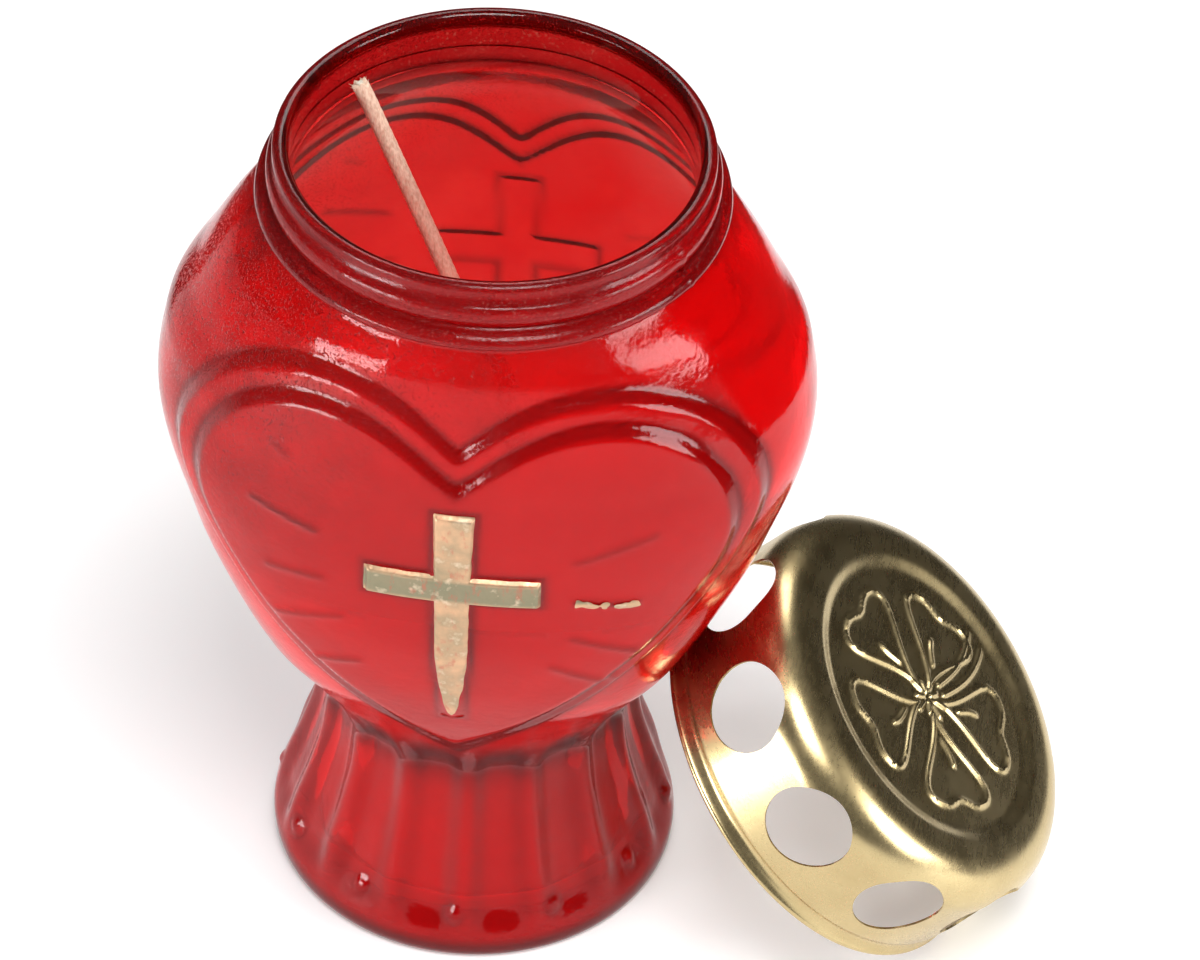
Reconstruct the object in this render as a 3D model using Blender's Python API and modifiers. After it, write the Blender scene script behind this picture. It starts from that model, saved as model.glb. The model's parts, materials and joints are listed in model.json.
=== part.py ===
"""Sanctuary lamp: a heart-shaped pressed-glass grave light, its metal cap leaning against it.

Metres, +Z up. The origin is the centre of the foot's underside. The heart and its cross face -Y, with
the same relief on the back. The cap is off, at +X, with its rim on the floor and against the glass.
"""

import math

import bmesh
import bpy
import numpy as np
from mathutils import Matrix

CLEARANCE = 0.0003          # left between pieces that touch

# Glass: an oval section at each height, from a round foot through the heart to a round neck
SEGMENTS = 48               # sides of every section
FIRST_CORNER = math.pi / SEGMENTS    # half a side, so that no corner is on the middle plane
WALL = 0.0030
FOOT_RADIUS = 0.0378
FOOT_EDGE = 0.0014          # how far the foot's edge curves in at the underside
FOOT_EDGE_HEIGHT = 0.0026
FOOT_WALL_START = 0.0040    # the foot starts to narrow at this height
FLOOR_THICKNESS = 0.0050
FLUTES = 16
FLUTE_DEPTH = 0.0016
FLUTE_SPAN = (0.0060, 0.0340)    # heights of the foot's lowest and highest fluted sections
FLUTE_FADE = 0.0120         # above the waist the flutes fade out over this height
WAIST_HEIGHT = 0.0400
WAIST_RADIUS = 0.0291
NECK_BASE = 0.1495
NECK_RADIUS = 0.0375
MOUTH_RADIUS = 0.0347
GLASS_HEIGHT = 0.1633
LIP_ROUNDING = 0.0013
LOWER_BEAD = (0.1530, 0.0019, 0.0405)    # height, half its width, radius
UPPER_BEAD = (0.1573, 0.0022, 0.0386)
CAVITY_TOP = 0.1450         # the body's curve inside starts here, below the straight mouth
CAVITY_FOOT_HEIGHTS = (0.0310, 0.0220, 0.0130)
CAVITY_CORNER = 0.0020      # cut across the corner between the floor and the wall
CORNER_INSET = 0.0050       # how far that corner stands in from the wall

# height, half width, half depth, squareness (2 is an ellipse)
BODY_SECTIONS = (
    (WAIST_HEIGHT, WAIST_RADIUS, WAIST_RADIUS, 2.0),
    (0.0470, 0.0314, 0.0308, 2.1),
    (0.0550, 0.0352, 0.0336, 2.4),
    (0.0640, 0.0400, 0.0369, 2.7),
    (0.0760, 0.0460, 0.0402, 2.6),
    (0.0900, 0.0521, 0.0424, 2.4),
    (0.1120, 0.0576, 0.0432, 2.2),
    (0.1230, 0.0561, 0.0430, 2.1),
    (0.1330, 0.0507, 0.0421, 2.1),
    (0.1430, 0.0447, 0.0408, 2.0),
    (NECK_BASE, 0.0381, 0.0381, 2.0),
)
FOOT_SECTIONS = (           # height, radius
    (FOOT_WALL_START, FOOT_RADIUS),
    (0.0120, 0.0360),
    (0.0220, 0.0327),
    (0.0310, 0.0303),
    (WAIST_HEIGHT, WAIST_RADIUS),
)

# Relief, the same on the front and the back
RELIEF_HEIGHT = 0.0010
RELIEF_ROOT = 0.0012        # how far the relief is sunk into the wall that carries it
HEART_NOTCH = 0.1314
HEART_APEX = 0.0480
HEART_LOBE = (0.0210, 0.1420)
HEART_SIDE = (0.0512, 0.1130)
HEART_BORDER = 0.0070       # width of the raised border round the heart
NOTCH_INSET = 1.35          # at its corners the border is this many times wider
APEX_INSET = 1.2
NOTCH_HANDLES = ((-0.0080, 0.0080), (0.0080, 0.0080))    # curve handles before and after each point
LOBE_HANDLES = ((-0.0090, 0.0), (0.0140, 0.0))
SIDE_HANDLES = ((0.0, 0.0130), (0.0, -0.0150))
APEX_HANDLES = ((0.0190, 0.0150), (-0.0190, 0.0150))
RELIEF_RINGS = 18
RELIEF_MARGIN = 0.0030      # the relief's shell starts below the apex and ends below the neck by this
CROSS_TOP = 0.1193
CROSS_FOOT = 0.0663
CROSS_HALF_WIDTH = 0.0031
CROSS_FOOT_HALF_WIDTH = 0.0025
ARM_LENGTH = 0.0143
ARM_HEIGHT = 0.1028
ARM_HALF_WIDTH = 0.0027
THROUGH = 0.0600            # past the deepest part of the body, front and back

# Gold paint on the front cross
PAINT_THICKNESS = 0.0003
PAINT_INSET = 0.0002
PAINT_TIP = 0.0695          # the painted shaft narrows to a blunt point here
PAINT_TIP_HALF_WIDTH = 0.0006
PAINT_MARGIN = 0.0040       # the paint's shell goes past the cross by this before it is trimmed

# Candle
WAX_LEVEL = 0.0880
WICK_RADIUS = 0.0015
WICK_WALL = 0.0006
CORE_RADIUS = 0.0006
WICK_ROUTE = (              # from the sustainer up through the wax, then leaning free
    (0.0000, 0.0000, 0.0064),
    (0.0000, 0.0000, 0.0200),
    (0.0012, 0.0010, 0.0450),
    (0.0045, 0.0038, 0.0700),
    (0.0062, 0.0055, 0.0860),
    (0.0020, 0.0066, 0.1000),
    (-0.0087, 0.0085, 0.1265),
    (-0.0247, 0.0116, 0.1638),
)
TUNNEL_REACH = 0.0200       # the wick's way through the wax is cut to this far above its level
SUSTAINER_RADIUS = 0.0075
SUSTAINER_SHEET = 0.0004
COLLAR_RADIUS = 0.0023
COLLAR_HEIGHT = 0.0040

# Cap: a stamped cup with vent holes round its skirt
CAP_SEGMENTS = 60
CAP_SHEET = 0.0004
CAP_RADIUS = 0.0392
CAP_HEIGHT = 0.0280
CAP_SHOULDER = 0.0078       # radius of the curve from the skirt to the top
RIM_BEAD = 0.0006           # how far the rim's rolled bead stands out
RIM_BEAD_HEIGHT = 0.0018
RIM_BEAD_FLAT = (0.7, 0.2)  # the bead's flat, as shares of its height
PANEL_RADIUS = 0.0288
PANEL_DEPTH = 0.0010        # the top panel is sunk this far
PANEL_WALL = 0.0006         # how far its wall slopes in, outside
PANEL_INNER_WALL = 0.0002   # and on the underside
SKIRT_MIDDLE = 0.6          # a ring this far up the skirt, so that its faces are not too long
VENTS = 10
VENT_RADIUS = 0.0082
VENT_HEIGHT = 0.0162
PUNCH_LENGTH = 0.0120
PUNCH_INSET = 0.0020        # the punch's middle is this far inside the skirt
CAP_LEAN = math.radians(46.7)    # the cap's axis above the floor
CAP_TURN = math.radians(-4.0)    # and round from +X
CAP_DISTANCE = 0.0640
CAP_SIDEWAYS = -0.0024

COLOURS = {                 # base colour, roughness, metallic, transmission
    "red_glass": ((0.62, 0.02, 0.02), 0.08, 0.0, 0.6),
    "gold_paint": ((0.72, 0.52, 0.30), 0.45, 0.6, 0.0),
    "wax": ((0.90, 0.86, 0.78), 0.50, 0.0, 0.0),
    "wick_braid": ((0.86, 0.76, 0.62), 0.90, 0.0, 0.0),
    "wick_paper": ((0.85, 0.82, 0.74), 0.80, 0.0, 0.0),
    "tinplate": ((0.70, 0.70, 0.68), 0.35, 1.0, 0.0),
    "gold_tinplate": ((0.78, 0.62, 0.30), 0.28, 1.0, 0.0),
}


def clear_scene():
    for thing in list(bpy.data.objects):
        bpy.data.objects.remove(thing, do_unlink=True)


def make_collection(name):
    collection = bpy.data.collections.new(name)
    bpy.context.scene.collection.children.link(collection)
    return collection


def make_material(name):
    colour, roughness, metallic, transmission = COLOURS[name]
    material = bpy.data.materials.new(name)
    material.use_nodes = True
    shader = material.node_tree.nodes["Principled BSDF"]
    shader.inputs["Base Color"].default_value = (*colour, 1.0)
    shader.inputs["Roughness"].default_value = roughness
    shader.inputs["Metallic"].default_value = metallic
    shader.inputs["Transmission Weight"].default_value = transmission
    return material


def add_object(name, data, collection, material=None):
    thing = bpy.data.objects.new(name, data)
    collection.objects.link(thing)
    if material:
        data.materials.append(make_material(material))
    return thing


def add_cutter(name, data):
    cutter = add_object(name, data, cutters)
    cutter.hide_render = True
    cutter.display_type = "WIRE"
    return cutter


def add_boolean(thing, operand, operation):
    modifier = thing.modifiers.new(operation.title(), "BOOLEAN")
    modifier.operation = operation
    modifier.solver = "EXACT"
    modifier.object = operand


def curve_to_mesh(curve_object):
    """Replace a curve object by a cutter mesh of the same shape and place, its caps welded."""
    bpy.context.view_layer.update()
    evaluated = curve_object.evaluated_get(bpy.context.evaluated_depsgraph_get())
    mesh = bpy.data.meshes.new_from_object(evaluated)
    shape = bmesh.new()
    shape.from_mesh(mesh)
    bmesh.ops.remove_doubles(shape, verts=shape.verts, dist=0.000001)
    bmesh.ops.recalc_face_normals(shape, faces=shape.faces)
    shape.to_mesh(mesh)
    shape.free()
    name = curve_object.name
    place = curve_object.matrix_world.copy()
    bpy.data.objects.remove(curve_object, do_unlink=True)
    piece = add_cutter(name, mesh)
    piece.matrix_world = place
    return piece


def monotone(knots, values, at):
    """A smooth curve through the values that never swings past them."""
    step = np.diff(knots)
    slope = np.diff(values) / step
    tangent = np.concatenate(([slope[0]], np.zeros(len(slope) - 1), [slope[-1]]))
    product = slope[:-1] * slope[1:]
    turning = product > 0
    tangent[1:-1][turning] = 2 * product[turning] / (slope[:-1] + slope[1:])[turning]
    index = np.clip(np.searchsorted(knots, at, side="right") - 1, 0, len(step) - 1)
    u = (at - knots[index]) / step[index]
    width = step[index]
    return (
        values[index] * (2 * u**3 - 3 * u**2 + 1)
        + values[index + 1] * (3 * u**2 - 2 * u**3)
        + tangent[index] * width * (u**3 - 2 * u**2 + u)
        + tangent[index + 1] * width * (u**3 - u**2)
    )


def body_section(height, offset=0.0):
    """Half width, half depth and squareness of the glass at a height, grown by an offset."""
    knots, widths, depths, squareness = np.array(BODY_SECTIONS).T
    return (
        float(monotone(knots, widths, height)) + offset,
        float(monotone(knots, depths, height)) + offset,
        float(monotone(knots, squareness, height)),
    )


def foot_radius(height):
    """Radius of the round foot between its edge and the waist."""
    knots, radii = np.array(FOOT_SECTIONS).T
    return float(monotone(knots, radii, height))


def oval(height, half_width, half_depth, squareness=2.0, flute=0.0):
    """The points of one section; a flute sinks them between evenly spaced ridges."""
    points = []
    for k in range(SEGMENTS):
        angle = FIRST_CORNER + 2 * math.pi * k / SEGMENTS
        across = math.cos(angle)
        along = math.sin(angle)
        sunk = flute * (1 - math.cos(FLUTES * (angle - FIRST_CORNER))) / 2
        x = math.copysign(abs(across) ** (2 / squareness), across) * (half_width - sunk)
        y = math.copysign(abs(along) ** (2 / squareness), along) * (half_depth - sunk)
        points.append((x, y, height))
    return points


def circle(height, radius):
    return oval(height, radius, radius)


def arc(centre, half_height, reach, start, stop, steps):
    """Heights and radii on part of an ellipse about (height, radius), angles from straight out."""
    height, radius = centre
    turns = np.radians(np.linspace(start, stop, steps))
    return [(height + half_height * math.sin(t), radius + reach * math.cos(t)) for t in turns]


def loft(name, rings, closed=False):
    """Skin the rings in order; the ends are filled, or joined to each other when closed."""
    shape = bmesh.new()
    loops = [[shape.verts.new(point) for point in ring] for ring in rings]
    pairs = list(zip(loops, loops[1:]))
    if closed:
        pairs.append((loops[-1], loops[0]))
    for lower, upper in pairs:
        for k in range(len(lower)):
            after = (k + 1) % len(lower)
            shape.faces.new((lower[k], lower[after], upper[after], upper[k]))
    if not closed:
        shape.faces.new(loops[0])
        shape.faces.new(loops[-1])
    bmesh.ops.recalc_face_normals(shape, faces=shape.faces)
    mesh = bpy.data.meshes.new(name)
    shape.to_mesh(mesh)
    shape.free()
    mesh.shade_smooth()
    mesh.set_sharp_from_angle(angle=math.radians(35))
    return mesh


def foot_rings():
    """The foot's outside, from its flat underside up to just below the waist."""
    rings = [
        circle(height, radius)
        for height, radius in arc(
            (FOOT_EDGE_HEIGHT, FOOT_RADIUS - FOOT_EDGE), FOOT_EDGE_HEIGHT, FOOT_EDGE, -90, 0, 4
        )
    ]
    for height in np.linspace(*FLUTE_SPAN, 6):
        radius = foot_radius(height)
        above_edge = (height - FOOT_WALL_START) / (WAIST_HEIGHT + FLUTE_SPAN[0])
        fade = math.sin(math.pi * above_edge) ** 0.7
        rings.append(oval(height, radius, radius, flute=FLUTE_DEPTH * fade))
    return rings


def body_rings(offset, heights, flute=0.0):
    """Sections of the heart-shaped body, with the flutes fading out above the waist."""
    rings = []
    for height in heights:
        half_width, half_depth, squareness = body_section(height, offset)
        fade = max(0.0, 1 - (height - WAIST_HEIGHT) / FLUTE_FADE)
        rings.append(oval(height, half_width, half_depth, squareness, flute * fade))
    return rings


def neck_rings():
    """The neck's two beads, the rounded lip and the straight mouth inside it."""
    outline = []
    for height, half_height, radius in (LOWER_BEAD, UPPER_BEAD):
        outline += arc((height, NECK_RADIUS), half_height, radius - NECK_RADIUS, -90, 90, 6)
    middle = (MOUTH_RADIUS + NECK_RADIUS) / 2
    half_lip = (NECK_RADIUS - MOUTH_RADIUS) / 2
    outline += arc((GLASS_HEIGHT - LIP_ROUNDING, middle), LIP_ROUNDING, half_lip, 0, 180, 7)
    return [circle(height, radius) for height, radius in outline]


def cavity_rings(gap, top):
    """The inside of the glass from a height down to its floor, pulled in by a gap."""
    body_heights = [h for h in np.linspace(CAVITY_TOP, WAIST_HEIGHT, 14) if h < top]
    rings = []
    if top > NECK_BASE:
        rings.append(circle(NECK_BASE, MOUTH_RADIUS - gap))
    else:
        rings += body_rings(-WALL - gap, [top])
    rings += body_rings(-WALL - gap, body_heights)
    for height in CAVITY_FOOT_HEIGHTS:
        rings.append(circle(height, foot_radius(height) - WALL - FLUTE_DEPTH / 2 - gap))
    corner = FOOT_RADIUS - WALL - CORNER_INSET
    rings.append(circle(FLOOR_THICKNESS + CAVITY_CORNER + gap, corner + CAVITY_CORNER / 2 - gap))
    rings.append(circle(FLOOR_THICKNESS + gap, corner - CAVITY_CORNER - gap))
    return rings


def relief_shell(name, low, high, bottom, top):
    """A closed shell that follows the body between two offsets from its surface."""
    heights = np.linspace(bottom, top, RELIEF_RINGS)
    rings = body_rings(high, heights) + body_rings(low, heights[::-1])
    return loft(name, rings, closed=True)


def heart_outline(curve, inset):
    """One closed Bezier heart in the curve's plane, pulled in by an inset."""
    lobe_x, lobe_z = HEART_LOBE
    side_x, side_z = HEART_SIDE
    notch = (0.0, HEART_NOTCH - NOTCH_INSET * inset)
    apex = (0.0, HEART_APEX + APEX_INSET * inset)
    lobe = (lobe_x, lobe_z - inset)
    side = (side_x - inset, side_z)
    spline = curve.splines.new("BEZIER")
    spline.use_cyclic_u = True
    spline.resolution_u = 7
    spline.bezier_points.add(5)
    half = (
        (notch, *NOTCH_HANDLES),
        (lobe, *LOBE_HANDLES),
        (side, *SIDE_HANDLES),
        (apex, *APEX_HANDLES),
    )
    mirrored = [
        ((-place[0], place[1]), (-after[0], after[1]), (-before[0], before[1]))
        for place, before, after in (half[2], half[1])
    ]
    for point, (place, before, after) in zip(spline.bezier_points, (*half, *mirrored)):
        point.handle_left_type = "FREE"
        point.handle_right_type = "FREE"
        point.co = (*place, 0.0)
        point.handle_left = (place[0] + before[0], place[1] + before[1], 0.0)
        point.handle_right = (place[0] + after[0], place[1] + after[1], 0.0)


def cross_outline(curve, inset, foot, foot_half_width):
    """One closed Latin cross in the curve's plane, pulled in by an inset."""
    half = (
        (CROSS_HALF_WIDTH - inset, CROSS_TOP - inset),
        (CROSS_HALF_WIDTH - inset, ARM_HEIGHT + ARM_HALF_WIDTH - inset),
        (ARM_LENGTH - inset, ARM_HEIGHT + ARM_HALF_WIDTH - inset),
        (ARM_LENGTH - inset, ARM_HEIGHT - ARM_HALF_WIDTH + inset),
        (CROSS_HALF_WIDTH - inset, ARM_HEIGHT - ARM_HALF_WIDTH + inset),
        (foot_half_width, foot),
    )
    outline = [*half, *((-x, z) for x, z in reversed(half))]
    spline = curve.splines.new("POLY")
    spline.use_cyclic_u = True
    spline.points.add(len(outline) - 1)
    for point, (x, z) in zip(spline.points, outline):
        point.co = (x, z, 0.0, 1.0)


def upright_prism(name, draw, middle, half_depth):
    """Push a flat outline through the body from front to back, about a middle Y."""
    curve = bpy.data.curves.new(name, "CURVE")
    curve.dimensions = "2D"
    curve.fill_mode = "BOTH"
    curve.extrude = half_depth
    draw(curve)
    prism = add_object(name, curve, cutters)
    prism.location = (0.0, middle, 0.0)
    prism.rotation_euler = (math.radians(90), 0.0, 0.0)
    return curve_to_mesh(prism)


def make_relief():
    """The raised heart borders and crosses of both faces, as one cutter to join to the glass."""

    def draw(curve):
        heart_outline(curve, 0.0)
        heart_outline(curve, HEART_BORDER)
        cross_outline(curve, 0.0, CROSS_FOOT, CROSS_FOOT_HALF_WIDTH)

    bottom = HEART_APEX - RELIEF_MARGIN
    top = NECK_BASE - RELIEF_MARGIN
    shell = relief_shell("relief", -RELIEF_ROOT, RELIEF_HEIGHT, bottom, top)
    relief = add_cutter("relief", shell)
    add_boolean(relief, upright_prism("relief_outline", draw, 0.0, THROUGH), "INTERSECT")
    return relief


def make_glass():
    underside = foot_rings()
    body = body_rings(0.0, np.linspace(WAIST_HEIGHT, NECK_BASE, 21), FLUTE_DEPTH)
    rings = underside + body + neck_rings() + cavity_rings(0.0, GLASS_HEIGHT)
    glass = add_object("glass_body", loft("glass_body", rings), lamp, "red_glass")
    add_boolean(glass, make_relief(), "UNION")
    return glass


def make_gold_cross():
    """The paint: a thin skin over the front cross that narrows to a point at its foot."""
    low = RELIEF_HEIGHT + CLEARANCE
    bottom = PAINT_TIP - PAINT_MARGIN
    top = CROSS_TOP + PAINT_MARGIN
    shell = relief_shell("gold_cross", low, low + PAINT_THICKNESS, bottom, top)
    cross = add_object("gold_cross", shell, lamp, "gold_paint")

    def draw(curve):
        cross_outline(curve, PAINT_INSET, PAINT_TIP, PAINT_TIP_HALF_WIDTH)

    add_boolean(cross, upright_prism("gold_cross_outline", draw, -THROUGH / 2, THROUGH / 2), "INTERSECT")
    return cross


def route_points(route, spacing):
    """Evenly spaced points on a smooth curve through the route's own points."""
    knots = np.array(route)
    padded = np.vstack((2 * knots[0] - knots[1], knots, 2 * knots[-1] - knots[-2]))
    dense = []
    for before, start, end, after in zip(padded, padded[1:], padded[2:], padded[3:]):
        for u in np.linspace(0, 1, 20, endpoint=False):
            dense.append(
                start
                + 0.5 * u * (end - before)
                + u**2 * (before - 2.5 * start + 2 * end - 0.5 * after)
                + u**3 * (-0.5 * before + 1.5 * start - 1.5 * end + 0.5 * after)
            )
    dense = np.array([*dense, knots[-1]])
    travelled = np.concatenate(([0], np.cumsum(np.linalg.norm(np.diff(dense, axis=0), axis=1))))
    stops = np.linspace(0, travelled[-1], round(travelled[-1] / spacing) + 1)
    return np.array([np.interp(stops, travelled, dense[:, axis]) for axis in range(3)]).T


def make_strand(name, radius, points, filled, collection, material=None):
    """A round strand along the points."""
    curve = bpy.data.curves.new(name, "CURVE")
    curve.dimensions = "3D"
    curve.bevel_depth = radius
    curve.bevel_resolution = 2
    curve.use_fill_caps = filled
    spline = curve.splines.new("POLY")
    spline.points.add(len(points) - 1)
    for point, place in zip(spline.points, points):
        point.co = (*place, 1.0)
    return add_object(name, curve, collection, material)


def make_wick():
    """The braid is a tube, with the stiff core inside it."""
    points = route_points(WICK_ROUTE, 3 * WICK_RADIUS)
    braid = make_strand("wick", WICK_RADIUS, points, False, lamp, "wick_braid")
    wall = braid.modifiers.new("Wall", "SOLIDIFY")
    wall.thickness = WICK_WALL
    wall.offset = -1.0
    core = make_strand("wick_core", CORE_RADIUS, points, True, lamp, "wick_paper")
    core.data.bevel_resolution = 1
    return braid


def turned(name, outline, steps, collection, material=None):
    """A solid of revolution from (radius, height) points that run down its outer side."""
    mesh = bpy.data.meshes.new(name)
    points = [(radius, 0.0, height) for radius, height in outline]
    edges = [(k, k + 1) for k in range(len(points) - 1)]
    mesh.from_pydata(points, edges, [])
    thing = add_object(name, mesh, collection, material)
    screw = thing.modifiers.new("Turn", "SCREW")
    screw.steps = steps
    screw.render_steps = steps
    screw.use_merge_vertices = True
    screw.merge_threshold = 0.00001
    screw.use_smooth_shade = True
    return thing


def sustainer_outline(gap, top):
    """Disc and collar as a solid outline; a gap makes the hollow that the wax keeps round them."""
    base = FLOOR_THICKNESS + CLEARANCE
    return (
        (0.0, top),
        (COLLAR_RADIUS + gap, top),
        (COLLAR_RADIUS + gap, base + SUSTAINER_SHEET + gap),
        (SUSTAINER_RADIUS + gap, base + SUSTAINER_SHEET + gap),
        (SUSTAINER_RADIUS + gap, base - gap),
        (0.0, base - gap),
    )


def make_sustainer():
    """The tinplate disc whose collar grips the foot of the wick."""
    collar_top = FLOOR_THICKNESS + CLEARANCE + COLLAR_HEIGHT
    outline = sustainer_outline(0.0, collar_top)
    socket = add_cutter("wick_socket", bpy.data.meshes.new("wick_socket"))
    shape = bmesh.new()
    bmesh.ops.create_cone(
        shape,
        cap_ends=True,
        segments=16,
        radius1=WICK_RADIUS + CLEARANCE,
        radius2=WICK_RADIUS + CLEARANCE,
        depth=COLLAR_HEIGHT,
    )
    shape.to_mesh(socket.data)
    shape.free()
    socket.location = (0.0, 0.0, WICK_ROUTE[0][2] - CLEARANCE + COLLAR_HEIGHT / 2)
    sustainer = turned("wick_sustainer", outline, 32, lamp, "tinplate")
    add_boolean(sustainer, socket, "DIFFERENCE")
    return sustainer


def make_wax():
    """The poured candle: the cavity's shape up to its level, clear of the wick and the sustainer."""
    wax = add_object("wax_fill", loft("wax_fill", cavity_rings(CLEARANCE, WAX_LEVEL)), lamp, "wax")
    collar_top = FLOOR_THICKNESS + CLEARANCE + COLLAR_HEIGHT
    pocket = turned("sustainer_pocket", sustainer_outline(2 * CLEARANCE, collar_top), 32, cutters)
    pocket.hide_render = True
    pocket.display_type = "WIRE"
    covered = [point for point in WICK_ROUTE if point[2] < WAX_LEVEL + TUNNEL_REACH]
    points = route_points(covered, 3 * WICK_RADIUS)
    tunnel = make_strand("wick_tunnel", WICK_RADIUS + CLEARANCE, points, True, cutters)
    add_boolean(wax, pocket, "DIFFERENCE")
    add_boolean(wax, curve_to_mesh(tunnel), "DIFFERENCE")
    return wax


def cap_outline():
    """(radius, height) round the sheet: over the top, down the skirt, up the inside."""
    panel_height = CAP_HEIGHT - PANEL_DEPTH
    shoulder_radius = CAP_RADIUS - CAP_SHOULDER
    shoulder_height = CAP_HEIGHT - CAP_SHOULDER
    turns = np.radians(np.linspace(90, 0, 7))
    bead_radius = CAP_RADIUS + RIM_BEAD
    outer = [(0.0, panel_height), (PANEL_RADIUS - PANEL_WALL, panel_height), (PANEL_RADIUS, CAP_HEIGHT)]
    outer += [
        (
            shoulder_radius + CAP_SHOULDER * math.cos(turn),
            shoulder_height + CAP_SHOULDER * math.sin(turn),
        )
        for turn in turns
    ]
    outer.append((CAP_RADIUS, SKIRT_MIDDLE * shoulder_height))
    outer.append((CAP_RADIUS, RIM_BEAD_HEIGHT))
    outer += [(bead_radius, share * RIM_BEAD_HEIGHT) for share in RIM_BEAD_FLAT]
    outer.append((CAP_RADIUS, 0.0))
    inner_radius = CAP_SHOULDER - CAP_SHEET
    inner = [(CAP_RADIUS - CAP_SHEET, 0.0), (CAP_RADIUS - CAP_SHEET, SKIRT_MIDDLE * shoulder_height)]
    inner += [
        (
            shoulder_radius + inner_radius * math.cos(turn),
            shoulder_height + inner_radius * math.sin(turn),
        )
        for turn in turns[::-1]
    ]
    inner.append((PANEL_RADIUS + CAP_SHEET, CAP_HEIGHT - CAP_SHEET))
    inner.append((PANEL_RADIUS - PANEL_INNER_WALL, panel_height - CAP_SHEET))
    inner.append((0.0, panel_height - CAP_SHEET))
    return outer + inner


def make_vent_cutter():
    """Short round punches, one for each vent, pointing out from the cap's axis."""
    shape = bmesh.new()
    for k in range(VENTS):
        turn = Matrix.Rotation(2 * math.pi * k / VENTS, 4, "Z")
        out = Matrix.Translation((CAP_RADIUS - PUNCH_INSET, 0.0, VENT_HEIGHT))
        bmesh.ops.create_cone(
            shape,
            cap_ends=True,
            segments=20,
            radius1=VENT_RADIUS,
            radius2=VENT_RADIUS,
            depth=PUNCH_LENGTH,
            matrix=turn @ out @ Matrix.Rotation(math.radians(90), 4, "Y"),
        )
    mesh = bpy.data.meshes.new("vent_punches")
    shape.to_mesh(mesh)
    shape.free()
    return add_cutter("vent_punches", mesh)


def make_cap():
    """The cap's axis is an empty, turned so that the rim's lowest point is on the floor."""
    outline = cap_outline()
    reach = [r * math.cos(CAP_LEAN) - z * math.sin(CAP_LEAN) for r, z in outline]
    axis = bpy.data.objects.new("cap_axis", None)
    lamp.objects.link(axis)
    axis.location = (CAP_DISTANCE, CAP_SIDEWAYS, max(reach))
    axis.rotation_euler = (0.0, math.radians(90) - CAP_LEAN, CAP_TURN)
    cap = turned("cap", outline, CAP_SEGMENTS, lamp, "gold_tinplate")
    vents = make_vent_cutter()
    cap.parent = axis
    vents.parent = axis
    add_boolean(cap, vents, "DIFFERENCE")
    return cap


clear_scene()
lamp = make_collection("sanctuary_lamp")
cutters = make_collection("cutters")
make_glass()
make_gold_cross()
make_wax()
make_wick()
make_sustainer()
make_cap()
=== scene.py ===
"""The looks of the sanctuary lamp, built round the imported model.

Metres, +Z up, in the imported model's frame. The glass, the gold on its cross, the wax, the wick and the
cap get fine meshes that stand for their plain solids; the core and the sustainer keep theirs.
"""

import json
import math

import bpy
import numpy as np
from mathutils import Matrix, Vector, noise


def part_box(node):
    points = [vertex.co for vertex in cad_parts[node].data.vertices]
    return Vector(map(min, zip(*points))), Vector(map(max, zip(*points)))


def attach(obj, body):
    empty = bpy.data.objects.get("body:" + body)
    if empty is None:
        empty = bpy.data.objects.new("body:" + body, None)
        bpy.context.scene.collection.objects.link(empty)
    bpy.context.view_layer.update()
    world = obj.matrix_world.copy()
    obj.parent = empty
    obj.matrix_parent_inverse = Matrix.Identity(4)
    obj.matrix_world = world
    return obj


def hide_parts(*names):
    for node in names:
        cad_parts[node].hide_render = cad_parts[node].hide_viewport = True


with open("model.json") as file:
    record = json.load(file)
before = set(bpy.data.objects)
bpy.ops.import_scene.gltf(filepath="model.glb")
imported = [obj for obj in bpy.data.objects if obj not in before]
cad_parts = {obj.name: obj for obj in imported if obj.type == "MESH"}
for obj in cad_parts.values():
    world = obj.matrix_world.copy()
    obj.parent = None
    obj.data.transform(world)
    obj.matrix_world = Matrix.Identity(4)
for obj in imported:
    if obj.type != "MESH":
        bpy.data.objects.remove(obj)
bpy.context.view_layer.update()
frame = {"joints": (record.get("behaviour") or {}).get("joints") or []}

# ------------ glass: the sections of the solid
WALL = 0.0030
FOOT_RADIUS = 0.0378
FOOT_EDGE = 0.0014
FOOT_EDGE_HEIGHT = 0.0026
FOOT_WALL_START = 0.0036
FLOOR_THICKNESS = 0.0050
WAIST_HEIGHT = 0.0400
WAIST_RADIUS = 0.0291
NECK_BASE = 0.1495
NECK_RADIUS = 0.0375
MOUTH_RADIUS = 0.0347
GLASS_HEIGHT = 0.1633
LIP_ROUNDING = 0.0013
LIP_RINGS = 9
CAVITY_TOP = NECK_BASE - 0.004    # the body's curve inside starts here, below the straight mouth
MOUTH_HEIGHTS = (0.1570, NECK_BASE + 0.002)
CAVITY_FOOT_HEIGHTS = (0.031, 0.022, 0.013)
CORNER_INSET = 0.005        # how far the corner of the floor stands in from the wall
CORNER_CUT = 0.002
FLOOR_RADII = (0.016, 0.002)
LOWER_BEAD = (0.1530, 0.0019, 0.0405)    # height, half its width, radius
UPPER_BEAD = (0.1573, 0.0022, 0.0386)

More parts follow.
